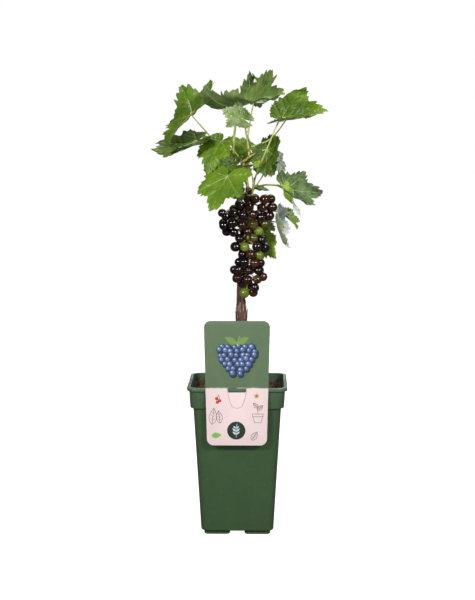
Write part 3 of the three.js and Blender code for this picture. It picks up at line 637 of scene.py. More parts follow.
bark, tree, shader = open_finish("bark")
strips = mottle(tree, (0.105, 0.058, 0.052), (0.014, 0.007, 0.007), 420, (1, 1, 0.1))
# Orange-brown bark, stronger towards the trunk's right flank.
toward_right_flank = remap(tree, axes_of(tree)["X"], (0.006, 0.012), (0.3, 1))
rust = times(tree, mottled_mask(tree, 150, (1, 1, 0.25)), toward_right_flank)
# Grey-purple patches stretched along the trunk: painted sheen.
bark_sheen = times(tree, mottled_mask(tree, 60, (1, 1, 0.5)), 0.22)
rusty = blend_tones(tree, rust, strips["Colour"], (0.34, 0.12, 0.055))
wire(tree, shader, Base_Color=blend_tones(tree, bark_sheen, rusty, (0.24, 0.19, 0.19)))
shader.inputs["Specular IOR Level"].default_value = 0.3
raise_grain(tree, shader, strips["Mask"], 0.7, 0.0006)
hand_over(trunk, "bark", [bark], "trunk")

flakes = Heap()
for i in range(FLAKES["all"]):
    at_graft = i < FLAKES["at_graft"]
    height = random.normal(333, 8) if at_graft else random.uniform(222, 420)
    share = min(range(200), key=lambda k: abs(limb_point(TRUNK, k / 199)[0][2] - height)) / 199
    middle, radius = limb_point(TRUNK, share)
    turn = random.uniform(0, 2 * math.pi)
    long, wide = random.uniform(5, 13), random.uniform(1.2, 2.8)
    lift = random.uniform(0.2, 1.3) if at_graft else random.uniform(0, 0.3)
    corners = []
    for step in range(5):
        rise = (step / 4 - 0.5) * long
        off = radius + 0.15 + lift * (step / 4) ** 3
        for side, thick in ((-0.5, 0), (0.5, 0), (0.5, 0.35), (-0.5, 0.35)):
            angle = turn + side * wide * (1 - 0.5 * step / 4) / radius
            corners.append(middle + [(off - thick) * math.cos(angle), (off - thick) * math.sin(angle), rise])
    flakes.add(corners, [(0, 1, 2, 3), (19, 18, 17, 16)] + [face[::-1] for face in tube_faces(4, 4)])
loose_bark = plain_finish("loose_bark", (0.5, 0.32, 0.2), (0.13, 0.065, 0.045), 500, 0.9, (1, 1, 0.15))
hand_over(flakes.piece("bark_flakes", 60), "bark", [loose_bark])

# Shoots
# Three green shoots on the trunk's fork: a zigzag leading one and two short side spurs. Each has a swollen,
# reddish brown node where a leaf or the bunch comes off it.
SHOOTS = {
    "main_shoot": [
        [15, 2.6, 521, 2.7], [10.5, 0, 553, 2.3], [7.5, -1, 560.5, 2.1], [16.3, -1, 569, 1.8], [14.2, 0, 592, 1.4],
    ],
    "left_spur": [[11, 4.5, 511, 2.4], [0, 6, 528, 2.1], [-6.5, 5, 546, 1.9]],
    "right_spur": [[19.5, 1, 514, 2.4], [22.2, 0.2, 518, 2.2], [25, -3, 535, 1.7]],
}
SHOOT_NODES = [
    ["main_shoot", 0.0, 3.6], ["main_shoot", 0.26, 2.7], ["main_shoot", 0.5, 2.5], ["main_shoot", 0.76, 2.3],
    ["main_shoot", 0.99, 1.8], ["left_spur", 0.05, 3.1], ["left_spur", 0.5, 2.5], ["left_spur", 0.97, 2.2],
    ["right_spur", 0.1, 2.8], ["right_spur", 0.97, 2.0],
]


def limb_mesh(rows, sides, steps):
    """Corners and faces of a round limb through rows of [x, y, height, radius]."""
    count = (len(rows) - 1) * steps
    line = [limb_point(rows, i / count) for i in range(count + 1)]
    corners, across = [], np.array([0.0, 1.0, 0.0])
    for i, (point, radius) in enumerate(line):
        along = line[min(i + 1, count)][0] - line[max(i - 1, 0)][0]
        along /= np.linalg.norm(along)
        across = across - along * across.dot(along)
        across /= np.linalg.norm(across)
        side = np.cross(along, across)
        for k in range(sides):
            turn = 2 * math.pi * k / sides
            corners.append(point + radius * (math.cos(turn) * across + math.sin(turn) * side))
    ends = [tuple(range(sides - 1, -1, -1)), tuple(range(count * sides, (count + 1) * sides))]
    return corners, tube_faces(count, sides) + ends


shoots = Heap()
for rows in SHOOTS.values():
    shoots.add(*limb_mesh(rows, 14, 8))
green_wood = plain_finish(
    "green_wood", (0.62, 0.68, 0.19), (0.42, 0.48, 0.11), 150, 0.5, (1, 1, 0.3), relief=(0.2, 0.0004))
hand_over(shoots.piece("green_shoots", 60), "shoot", [green_wood], *SHOOTS)

swellings = Heap()
for name, share, radius in SHOOT_NODES:
    middle, _ = limb_point(SHOOTS[name], share)
    rough = 1 + 0.12 * random.normal(size=(len(lump_corners), 1)).clip(-1, 1)
    swellings.add(lump_corners * rough * radius * [1, 1, 1.15] + middle, lump_faces)
node_bark = plain_finish("node_bark", (0.36, 0.21, 0.09), (0.2, 0.085, 0.04), 260, 0.7, relief=(0.4, 0.0005))
hand_over(swellings.piece("shoot_nodes", 80), "shoot", [node_bark])

# Leaf blades
# Lobed, sharply toothed leaves with five main veins that fan out from the joint with the stalk. The sheet is sunk
# along the veins and puffed up between them; below, the veins stand out as ribs and the skin is pale and downy.
LEAF_EDGE = [
    [0, 1.0, 3], [26, 0.68, 3], [50, 0.87, 3], [76, 0.6, 2], [101, 0.72, 3], [126, 0.6, 2], [148, 0.5, 1],
    [168, 0.13, 0],
]
TOOTH = {"rise": 0.05, "fall": 0.034, "notch": 0.7, "belly": 0.03, "vary": 0.012}
HALF_WIDTH, WAVES, CREASE = 0.85, 5, 0.04
FLAT_LEAF = {"behind": 0.5, "beside": 0.8, "size": 1.6}  # the part of the flat leaf's plane that its UV map holds
INNER_FAN, OUTER_FAN = 25, 75.5  # degrees from the midrib where the side veins of the next main vein begin
SIDE_VEIN_SLANT = 0.76
LOBES_AT = [-150, -101, -50, 0, 50, 101, 150]  # degrees from the midrib where a leaf's own lobes are set
MAIN_VEINS = [0, 50, 101]  # degrees from the midrib, on both sides
SIDE_VEIN_STEP, SIDE_VEIN_LEAN = 0.155, 0.85
BLADE = {"rings": 20, "thick": 0.45, "sink": 0.014, "puff": 0.0045, "crinkle": 0.09, "ruffle": 0.03}
# For each leaf: the limb it sits on and how far along, the joint with its stalk, how its midrib points, rises and
# rolls, its length, the degrees of its cup, droop, twist and fold, its wave, how its stalk bows to y and z and sways
# to x, how stout that is, the skins above and below, the tear, and how far its lobes reach, right to left.
LEAVES = {
    "leaf_top": dict(
        on=["left_spur", 1], at=[3, -3, 646], aim=[-49, 10, 17], long=84, cup=80, droop=5, sway=-5, bow=[-3, -10],
        stout=1.6, tint="olive", tear=[0.05, 0.62], lobes=[1.13, 1.18, 1.06, 1.18, 0.99, 1.19, 0.93], twist=15,
        fold=4,
    ),
    "leaf_upper_left": dict(
        on=["left_spur", 0.6], at=[-71, 11, 633], aim=[91, 24, -44], long=72, cup=-10, droop=-35, wave=0.09,
        phase=310, bow=[9, 9], tint="full", lobes=[1.02, 1.05, 1.0, 1.01, 0.98, 1.15, 1.01], twist=2, fold=4,
    ),
    "leaf_far_left": dict(
        on=["left_spur", 0.4], at=[-62.5, 8, 593], aim=[-167, -24, -9], long=72, cup=30, droop=-20, wave=0.09,
        phase=57, bow=[2, -10], tint="dusky", below="deep", lobes=[0.7, 0.93, 1.22, 1.0, 1.14, 0.85, 0.5], twist=-3,
        fold=-5,
    ),
    "leaf_upper_right": dict(
        on=["right_spur", 1], at=[65.5, -13, 626.5], aim=[6, 12, 42], long=60, cup=62, droop=8, bow=[-32, 4],
        tint="bright", lobes=[0.94, 0.94, 1.0, 1.19, 1.21, 0.66, 0.6], twist=6, fold=19,
    ),
    "leaf_small_top": dict(
        on=["main_shoot", 0.84], at=[8.5, -53, 624.5], aim=[-169, 24, -48], long=34, cup=24, bow=[15, 3],
        tint="young", lobes=[1.22, 0.79, 1.0, 0.99, 1.02, 0.99, 1.08], twist=-44, fold=1,
    ),
    "leaf_left": dict(
        on=["main_shoot", 0.52], at=[-24, -18, 592], aim=[-134, -43, -8], long=58, cup=-11, droop=38, wave=0.07,
        phase=126, bow=[0, 3], tint="bright", lobes=[0.73, 1.0, 0.9, 0.97, 0.74, 0.42, 0.4], twist=-3,
    ),
    "leaf_front": dict(
        on=["main_shoot", 0.05], at=[-14.7, -52, 541], aim=[-129, -50, -5], long=59, cup=4, droop=10, bow=[0, 8],
        tint="bright", lobes=[0.6, 1.05, 1.0, 1.08, 1.03, 1.0, 0.6], twist=5,
    ),
    "leaf_shaded_left": dict(
        on=["main_shoot", 0.4], at=[-3.5, -12, 564.5], aim=[-115, -36, 8], long=39, cup=60, bow=[0, 2], tint="full",
        lobes=[1.0, 1.0, 1.05, 1.0, 0.7, 0.5, 0.5],
    ),
    "leaf_inner": dict(
        on=["main_shoot", 0.74], at=[16, 46, 580], aim=[173, 35, -60], long=33, cup=-25, droop=15, bow=[1, 1],
        tint="bright", lobes=[1.0, 1.0, 1.0, 1.19, 1.22, 1.19, 1.0], twist=3, fold=-22,
    ),
    "leaf_shaded_right": dict(
        on=["main_shoot", 0.66], at=[44, -14, 579], aim=[-96, -68, 22], long=46, cup=60, droop=-8, bow=[0, 3],
        tint="full", lobes=[0.6, 0.6, 0.75, 0.95, 1.0, 1.0, 1.0], fold=3,
    ),
    "leaf_inner_right": dict(
        on=["main_shoot", 0.8], at=[39, 78, 580.5], aim=[-48, 20, 47], long=30, cup=50, bow=[0, -4], tint="deep",
    ),
    "leaf_hanging_right": dict(
        on=["main_shoot", 0.3], at=[43, 14, 574], aim=[-14, -74, 121], long=35, cup=80, droop=13, bow=[2, 3],
        tint="full", lobes=[1.0, 1.0, 1.21, 0.99, 0.9, 1.0, 1.0], twist=-43,
    ),
    "leaf_pale_right": dict(
        on=["right_spur", 0.5], at=[52, 50, 568], aim=[-41, -36, 87], long=47, cup=18, droop=-10, bow=[4, -4],
        tint="downy", below="pale", lobes=[1.0, 1.0, 0.74, 0.76, 0.55, 0.5, 0.7], twist=-13,
    ),
    "leaf_right": dict(
        on=["trunk", 0.985], at=[73, -26, 523.5], aim=[20, -19, 31], long=58, cup=32, droop=-30, bow=[-25, 7],
        tint="sheen", lobes=[0.9, 1.0, 1.1, 0.98, 0.97, 0.9, 0.5], twist=23, fold=1,
    ),
    "leaf_silver": dict(
        on=["trunk", 0.86], at=[58, -28, 471.5], aim=[58, -71, -116], long=48, cup=-45, droop=35, bow=[5, -2],
        tint="pale", below="downy", lobes=[1.2, 1.04, 1.0, 0.98, 1.1, 1.0, 1.0], fold=-4,
    ),
    "leaf_right_low": dict(
        on=["trunk", 0.88], at=[70, 30, 483], aim=[-33, -30, -8], long=36, cup=26, droop=25, bow=[0, 3],
        tint="bright", lobes=[1.0, 1.0, 0.94, 1.0, 0.96, 1.19, 1.0], twist=-6, fold=-2,
    ),
    # Both of its skins are painted light, as this leaf lies in the bunch's shade.
    "leaf_behind_bunch": dict(
        on=["trunk", 0.72], at=[32, 24, 437.5], aim=[-23, 24, 80], long=44, cup=-15, droop=128, bow=[0, 2],
        tint="sunlit", below="sunlit", lobes=[1.0, 0.78, 1.04, 0.78, 0.97, 1.0, 1.0], twist=17, fold=-2,
    ),
    "leaf_small_front": dict(
        on=["trunk", 0.97], at=[6, -8, 514], aim=[-175, -20, -70], long=17, cup=10, droop=10, bow=[-1, 1],
        tint="deep",
    ),
    "leaflet_right": dict(  # a narrow leaflet and two small ones, too slight for solids of their own
        on=["trunk", 0.985], at=[71, -35, 525.5], aim=[-36, -57, 42], long=52, cup=60, droop=4, bow=[-25, 7],
        stout=0.6, tint="sunlit", below="downy", leaflet=True, lobes=[0.42, 0.2, 0.12, 1.0, 0.12, 0.2, 0.42],
        twist=190,
    ),
    "leaflet_low": dict(
        on=["trunk", 0.985], at=[29, -16, 523.5], aim=[-8, -14, 30], long=19, cup=20, bow=[-2, 0], stout=0.6,
        tint="young", leaflet=True, lobes=[0.5, 0.5, 0.6, 1.05, 0.6, 0.5, 0.5],
    ),
    "leaflet_high": dict(
        on=["main_shoot", 0.3], at=[26, -32, 556.5], aim=[-10, 36, 76], long=11, cup=30, bow=[-2, 3], stout=0.6,
        tint="sunlit", leaflet=True, lobes=[0.6, 0.6, 0.7, 1.1, 0.7, 0.6, 0.6],
    ),
    "leaf_rear_top": dict(
        on=["main_shoot", 1], at=[24, 46, 652.5], aim=[80, 8, -6], long=50, cup=20, droop=30, wave=0.05, phase=90,
        bow=[-4, 5], tint="full",
    ),
    "leaf_rear_left": dict(
        on=["left_spur", 0.3], at=[-8, 50, 552], aim=[98, -20, 4], long=47, cup=24, droop=30, wave=0.06, phase=20,
        bow=[3, 6], tint="full",
    ),
    "leaf_rear_right": dict(
        on=["main_shoot", 0.9], at=[80, 41, 634], aim=[60, 12, -10], long=46, cup=22, droop=34, wave=0.05,
        phase=200, sway=2, bow=[0, -12], tint="bright",
    ),
    "leaf_rear_low": dict(
        on=["trunk", 0.8], at=[18, 44, 474], aim=[78, -34, 6], long=52, cup=18, droop=24, wave=0.06, phase=140,
        bow=[0, 6], tint="deep",
    ),
}


def leaf_outline(random):
    """Turns from the midrib and reaches of the toothed edge, from one side of the stalk's notch to the other."""
    sides = []
    for _ in range(2):
        marks = []
        for (angle, reach, teeth), (next_angle, next_reach, _) in zip(LEAF_EDGE, LEAF_EDGE[1:]):
            steps = [[0, TOOTH["rise"]], [0.3, TOOTH["belly"]], [TOOTH["notch"], -TOOTH["fall"]]]
            if next_reach > reach:
                steps = [[0, -TOOTH["fall"]], [0.4, TOOTH["belly"] * 0.4], [0.72, TOOTH["rise"]]]
            for tooth in range(teeth):
                size = (1 + random.normal() * 0.25) * math.sqrt(2.2 / teeth)
                for offset, change in steps:
                    share = (tooth + offset) / teeth
                    change = (change * size + random.normal() * TOOTH["vary"]) * (share > 0)
                    straight = reach + (next_reach - reach) * share
                    marks.append([angle + (next_angle - angle) * share, straight + change])
        marks.append(LEAF_EDGE[-1][:2])
        marks = np.array(marks)
        between = (marks[1:] + marks[:-1]) / 2
        fine = np.empty((2 * len(marks) - 1, 2))
        fine[0::2], fine[1::2] = marks, between
        sides.append(fine)
    right, left = sides
    right = right[1:][::-1] * [-1, 1]
    both = np.vstack([right, left])
    return np.radians(both[:, 0]), both[:, 1]


def vein_fields(x, y):
    """Distances in leaf lengths from the nearest main vein and from the nearest side vein."""
    y = np.abs(y)
    turn = np.degrees(np.arctan2(y, x))
    off_main, off_side = [], []
    for angle in np.radians(MAIN_VEINS):
        along, off = x * np.cos(angle) + y * np.sin(angle), np.abs(y * np.cos(angle) - x * np.sin(angle))
        off_main.append(np.where(along > 0, off, np.hypot(x, y)))
        place = (along - SIDE_VEIN_LEAN * off) / SIDE_VEIN_STEP
        off_side.append(np.abs(place % 1 - 0.5) * SIDE_VEIN_STEP * SIDE_VEIN_SLANT)
    nearest = np.where(turn < INNER_FAN, 0, np.where(turn < OUTER_FAN, 1, 2))
    return np.min(off_main, axis=0), np.choose(nearest, off_side)


def blade_points(leaf, x, y):
    """Places points of the flat leaf, in millimetres along and across its midrib, on the bent blade."""
    long = leaf["long"]
    out = np.hypot(x, y) / long
    z = np.cos(WAVES * np.arctan2(y, x) + math.radians(leaf.get("phase", 0))) * leaf.get("wave", 0) * long * out ** 2
    if leaf.get("fold"):
        bend, crease = math.radians(leaf["fold"]), CREASE * long
        y, z = y * math.cos(bend), z + (np.sqrt(y * y + crease ** 2) - crease) * math.sin(bend)
    if leaf.get("cup"):
        bend = math.radians(leaf["cup"]) / (HALF_WIDTH * long)
        y, z = (1 / bend - z) * np.sin(bend * y), 1 / bend - (1 / bend - z) * np.cos(bend * y)
    if leaf.get("twist"):
        bend = math.radians(leaf["twist"]) * x / long
        y, z = y * np.cos(bend) - z * np.sin(bend), y * np.sin(bend) + z * np.cos(bend)
    if leaf.get("droop"):
        bend = math.radians(leaf["droop"]) / long
        x, z = (1 / bend + z) * np.sin(bend * x), (1 / bend + z) * np.cos(bend * x) - 1 / bend
    heading, pitch, roll = [math.radians(angle) for angle in leaf["aim"]]
    ahead = np.array([math.cos(heading) * math.cos(pitch), math.sin(heading) * math.cos(pitch), math.sin(pitch)])
    flat = np.array([-math.sin(heading), math.cos(heading), 0])
    left = flat * math.cos(roll) + np.cross(ahead, flat) * math.sin(roll)
    frame_rows = np.array([ahead, left, np.cross(ahead, left)])
    return np.stack([x, y, z], axis=-1) @ frame_rows + np.array(leaf["at"], dtype=float)


def blade_normals(leaf, x, y):
    here = blade_points(leaf, x, y)
    normal = np.cross(blade_points(leaf, x + 0.1, y) - here, blade_points(leaf, x, y + 0.1) - here)
    return normal / np.linalg.norm(normal, axis=-1, keepdims=True)


def smooth_step(low, high, value):
    share = np.clip((value - low) / (high - low), 0, 1)
    return share * share * (3 - 2 * share)


def own_lobes(leaf, turn):
    """How far a leaf's own lobes reach at a turn from the midrib, as a share of the common outline's reach."""
    return np.interp(np.degrees(turn), LOBES_AT, leaf.get("lobes", [1] * len(LOBES_AT)))


def add_blade(heap, leaf, random):
    """Both skins of the blade and its rim; returns each corner's place on the flat leaf, for the veins."""
    turn, reach = leaf_outline(random)
    reach = reach * own_lobes(leaf, turn)
    long, rings = leaf["long"], BLADE["rings"]
    shares = (np.arange(1, rings + 1) / rings) ** 0.85
    x = np.concatenate([[0], (shares[:, None] * reach * np.cos(turn)).ravel()])
    y = np.concatenate([[0], (shares[:, None] * reach * np.sin(turn)).ravel()])
    main, side = vein_fields(x, y)
    out = np.hypot(x, y)
    lift = BLADE["puff"] * smooth_step(0, 0.05, side) * smooth_step(0, 0.25, out)
    lift -= BLADE["sink"] * (1 - smooth_step(0, 0.05, main))
    seed = random.uniform(0, 50)
    lift += BLADE["crinkle"] * np.array([noise.noise(Vector((a * 4, b * 4, seed))) for a, b in zip(x, y)]) * out
    lift += BLADE["ruffle"] * out ** 3 * np.sin(11 * np.arctan2(y, x) + seed)
    points = blade_points(leaf, x * long, y * long)
    normal = blade_normals(leaf, x * long, y * long)
    points = points + normal * (lift * long)[:, None]
    count, around = len(x), len(turn)
    upper, lower = points + normal * BLADE["thick"] / 2, points - normal * BLADE["thick"] / 2
    top = [(0, 1 + k, 2 + k) for k in range(around - 1)]
    for ring in range(rings - 1):
        for k in range(around - 1):
            a = 1 + ring * around + k
            top.append((a, a + around, a + around + 1, a + 1))
    rim = [0] + [1 + ring * around for ring in range(rings)]
    rim += [1 + (rings - 1) * around + k for k in range(1, around)]
    rim += [ring * around for ring in range(rings - 1, 0, -1)]
    under = [tuple(count + corner for corner in reversed(face)) for face in top]
    sides = [(a + count, b + count, b, a) for a, b in zip(rim, rim[1:] + rim[:1])]
    start = heap.count
    heap.add(np.vstack([upper, lower]), top + under + sides)
    heap.finishes[-len(under) - len(sides):] = [1] * (len(under) + len(sides))
    return np.tile(np.stack([x, y], axis=-1), (2, 1)), start


def add_ribs(heap, leaf):
    """Veins that stand out below the blade: five main ribs and the first side ribs of each."""
    long = leaf["long"]

    def rib(start, end, thick):
        share = np.linspace(0, 1, 7)
        x, y = [(a + (b - a) * share) * long for a, b in zip(start, end)]
        under = blade_normals(leaf, x, y) * (BLADE["thick"] / 2 + BLADE["sink"] * long * 0.8)
        middle = blade_points(leaf, x, y) - under
        rows = [[*point, max(thick * (1 - 0.75 * part), 0.16)] for point, part in zip(middle, share)]
        heap.add(*limb_mesh(rows, 5, 1), 2)

    for angle in MAIN_VEINS:
        for side in (-1, 1) if angle else (1,):
            turn = side * math.radians(angle)
            reach = np.interp(angle, *np.array(LEAF_EDGE)[:, :2].T) * own_lobes(leaf, turn) * 0.93
            way = np.array([math.cos(turn), math.sin(turn)])
            rib(way * 0.02, way * reach, long * 0.0115)
            for step in range(1, 4):
                root = (step + 0.5) * SIDE_VEIN_STEP
                if root > reach * 0.8:
                    break
                for lean in (-1, 1):
                    branch = turn + lean * math.atan(1 / SIDE_VEIN_LEAN)
                    span = min(0.22, 0.5 * (reach - root) + 0.06)
                    tip = way * root + span * np.array([math.cos(branch), math.sin(branch)])
                    rib(way * root, tip, long * 0.005)


vein_map = bpy.data.node_groups.new("vein_map", "ShaderNodeTree")
vein_map.interface.new_socket("Place", in_out="INPUT", socket_type="NodeSocketVector")
for label in ("Veins", "Puff", "Net"):
    vein_map.interface.new_socket(label, in_out="OUTPUT", socket_type="NodeSocketFloat")


def work(operation, *values, clamp=False):
    """One sum in the vein map."""
    return put(vein_map, "ShaderNodeMath", dict(enumerate(values)), operation=operation, use_clamp=clamp).outputs[0]


def ease(value, low, high, first, last):
    return put(vein_map, "ShaderNodeMapRange", {
        "Value": value, "From Min": low, "From Max": high, "To Min": first, "To Max": last,
    }, interpolation_type="SMOOTHSTEP").outputs["Result"]


place = vein_map.nodes.new("NodeGroupInput").outputs["Place"]
sway = put(vein_map, "ShaderNodeTexNoise", {"Vector": place, "Scale": 5.0, "Detail": 2.0})
shift = put(vein_map, "ShaderNodeVectorMath", {0: sway.outputs["Color"], 1: (0.5, 0.5, 0.5)}, operation="SUBTRACT")
small = put(vein_map, "ShaderNodeVectorMath", {0: shift.outputs[0], "Scale": 0.035}, operation="SCALE")
swayed = put(vein_map, "ShaderNodeVectorMath", {0: place, 1: small.outputs[0]}, operation="ADD")
flat = put(vein_map, "ShaderNodeSeparateXYZ", {"Vector": swayed.outputs[0]})
leaf_x = work("MULTIPLY_ADD", flat.outputs["X"], FLAT_LEAF["size"], -FLAT_LEAF["behind"])
leaf_y = work("ABSOLUTE", work("MULTIPLY_ADD", flat.outputs["Y"], FLAT_LEAF["size"], -FLAT_LEAF["beside"]))
fan_turn = work("ARCTAN2", leaf_y, leaf_x)
main_mask, side_offs = None, []
for angle in [math.radians(degrees) for degrees in MAIN_VEINS]:
    cos, sin = math.cos(angle), math.sin(angle)
    along = work("ADD", work("MULTIPLY", leaf_x, cos), work("MULTIPLY", leaf_y, sin))
    off = work("ABSOLUTE", work("SUBTRACT", work("MULTIPLY", leaf_y, cos), work("MULTIPLY", leaf_x, sin)))
    width = work("MAXIMUM", work("MULTIPLY_ADD", along, -0.012, 0.014), 0.005)
    beside = ease(off, work("MULTIPLY", width, 0.4), width, 1.0, 0.0)
    near = work("MULTIPLY", beside, work("GREATER_THAN", along, 0.0))
    main_mask = near if main_mask is None else work("MAXIMUM", main_mask, near)
    step = work("DIVIDE", work("MULTIPLY_ADD", off, -SIDE_VEIN_LEAN, along), SIDE_VEIN_STEP)
    off_step = work("ABSOLUTE", work("SUBTRACT", work("FRACT", step), 0.5))
    side_offs.append(work("MULTIPLY", off_step, SIDE_VEIN_STEP * SIDE_VEIN_SLANT))
inner = work("LESS_THAN", fan_turn, math.radians(INNER_FAN))
outer = work("GREATER_THAN", fan_turn, math.radians(OUTER_FAN))
between = work("SUBTRACT", work("SUBTRACT", 1.0, inner), outer)
side_off = 0.0
for fan, fan_off in zip((inner, between, outer), side_offs):
    side_off = work("MULTIPLY_ADD", fan, fan_off, side_off)
side_mask = work("MULTIPLY", ease(side_off, 0.001, 0.005, 1.0, 0.0), 0.4)
cells = put(vein_map, "ShaderNodeTexVoronoi", {
    "Vector": swayed.outputs[0], "Scale": 34.0,
}, feature="DISTANCE_TO_EDGE")
net = ease(cells.outputs["Distance"], 0.0, 0.09, 1.0, 0.0)
leave = vein_map.nodes.new("NodeGroupOutput").inputs
vein_map.links.new(work("MAXIMUM", main_mask, side_mask), leave["Veins"])
vein_map.links.new(ease(side_off, 0.0, 0.05, 0.0, 1.0), leave["Puff"])
vein_map.links.new(net, leave["Net"])


def leaf_skin(name, light, dark, vein, vein_strength, roughness, relief=0.28, patch=30, uneven=0.06, spots=0.0,
              shine=0.35):
    """A leaf's skin: two greens in soft patches, veins in their own tone, and relief between them."""
    finish, tree, shader = open_finish(name)
    flat_place = tree.nodes.new("ShaderNodeTexCoord").outputs["UV"]
    veins = put(tree, "ShaderNodeGroup", {"Place": flat_place}, node_tree=vein_map).outputs
    patches = mottle(tree, light, dark, patch)
    lines = put(tree, "ShaderNodeMath", {
        0: times(tree, veins["Net"], 0.16), 1: times(tree, veins["Veins"], vein_strength),
    }, operation="MAXIMUM").outputs[0]
    veined = blend_tones(tree, lines, patches["Colour"], vein)
    specks = times(tree, remap(tree, mottled_mask(tree, 110), (0.8, 0.95), (0, spots)), patches["Mask"])
    wire(tree, shader, Base_Color=blend_tones(tree, specks, veined, (0.13, 0.05, 0.015)),
         Roughness=remap(tree, patches["Mask"], ends=(roughness - uneven, roughness + uneven)))
    shader.inputs["Specular IOR Level"].default_value = shine
    swell = put(tree, "ShaderNodeMath", {0: veins["Net"], 1: -0.25, 2: veins["Puff"]}, operation="MULTIPLY_ADD")
    raise_grain(tree, shader, swell.outputs[0], relief, 0.0012)
    return finish


# Some of these tones stand for light and shade: sunlit is painted light, a bright green for light on and through a
# leaf; the pale grey-green patches of sheen are painted sheen; and bright, full, deep and dusky are the leaves' own
# greens set lighter or darker leaf by leaf, partly as painted light and shade.
LEAF_TONES = {  # light, dark and vein tones, the veins' strength, roughness, and what else is unlike the others
    "under": [(0.22, 0.32, 0.1), (0.14, 0.22, 0.06), (0.36, 0.44, 0.18), 0.6, 0.65, {"relief": 0.35}],
    "downy": [(0.8, 0.85, 0.79), (0.62, 0.69, 0.61), (0.7, 0.74, 0.6), 0.5, 0.8, {"relief": 0.4}],
    "bright": [(0.17, 0.3, 0.012), (0.09, 0.185, 0.006), (0.34, 0.46, 0.09), 0.6, 0.36, {}],
    "sunlit": [(0.31, 0.47, 0.035), (0.18, 0.32, 0.016), (0.48, 0.6, 0.15), 0.5, 0.4, {}],
    "full": [(0.105, 0.2, 0.009), (0.05, 0.108, 0.006), (0.25, 0.37, 0.08), 0.55, 0.36, {"spots": 0.8}],
    "deep": [(0.06, 0.125, 0.012), (0.028, 0.07, 0.007), (0.16, 0.26, 0.06), 0.5, 0.34, {}],
    "olive": [(0.27, 0.37, 0.085), (0.035, 0.085, 0.012), (0.28, 0.37, 0.14), 0.45, 0.34, {"patch": 28}],
    "dusky": [(0.1, 0.165, 0.022), (0.034, 0.076, 0.006), (0.17, 0.24, 0.07), 0.5, 0.62,
              {"patch": 60, "spots": 0.9, "shine": 0.08}],
    "sheen": [(0.12, 0.21, 0.05), (0.011, 0.042, 0.005), (0.4, 0.5, 0.26), 0.65, 0.5,
              {"relief": 0.45, "patch": 70, "uneven": 0.2}],
    "pale": [(0.4, 0.48, 0.33), (0.2, 0.28, 0.14), (0.48, 0.55, 0.36), 0.5, 0.5, {}],
    "young": [(0.38, 0.47, 0.24), (0.1, 0.2, 0.015), (0.38, 0.48, 0.14), 0.5, 0.25, {"patch": 75}],
}
leaf_skins = {name: leaf_skin("leaf_" + name, *tones, **others) for name, (*tones, others) in LEAF_TONES.items()}
TEAR = {"points": 13, "reach": 0.052, "rough": 0.3, "edge": 0.4, "deep": 4}
rib_skin = plain_finish("leaf_rib", (0.42, 0.5, 0.22), (0.3, 0.38, 0.14), 200, 0.6)
torn = Heap()
for name, leaf in LEAVES.items():
    random = np.random.default_rng(sum(map(ord, name)))
    heap = Heap()
    flat_places, start = add_blade(heap, leaf, random)
    add_ribs(heap, leaf)
    blade = heap.piece(name + "_blade", 50)
    places = np.zeros((heap.count, 2))
    flat_places += [FLAT_LEAF["behind"], FLAT_LEAF["beside"]]
    places[start:start + len(flat_places)] = flat_places / FLAT_LEAF["size"]
    layer = blade.data.uv_layers.new(name="flat_leaf")
    corner_of = np.zeros(len(blade.data.loops), dtype=int)
    blade.data.loops.foreach_get("vertex_index", corner_of)
    layer.data.foreach_set("uv", places[corner_of].ravel())
    nodes = [] if leaf.get("leaflet") else [name]
    hand_over(blade, "leaf", [leaf_skins[leaf["tint"]], leaf_skins[leaf.get("below", "under")], rib_skin], *nodes)
    if leaf.get("tear"):
        turns = np.arange(TEAR["points"]) / TEAR["points"] * 2 * math.pi
        reach = TEAR["reach"] * (1 + TEAR["rough"] * random.normal(size=TEAR["points"]).clip(-1.5, 1.5))
        x, y = [
            (middle + reach * way) * leaf["long"]
            for middle, way in zip(leaf["tear"], (np.cos(turns), np.sin(turns)))
        ]
        edge, normal = blade_points(leaf, x, y), blade_normals(leaf, x, y) * TEAR["deep"]
        cutter, count = Heap(), len(edge)
        caps = [tuple(reversed(range(count))), tuple(range(count, 2 * count))]
        cutter.add(np.vstack([edge - normal, edge + normal]), tube_faces(1, count) + caps)
        cut_away(blade, cutter.piece("tear"))
        torn.add(*limb_mesh([[*point, TEAR["edge"]] for point in [*edge, edge[0]]], 6, 2))
dry_edge = plain_finish("dry_leaf_edge", (0.42, 0.09, 0.05), (0.16, 0.09, 0.03), 320, 0.8)
hand_over(torn.piece("leaf_tear_edge", 60), "leaf", [dry_edge])

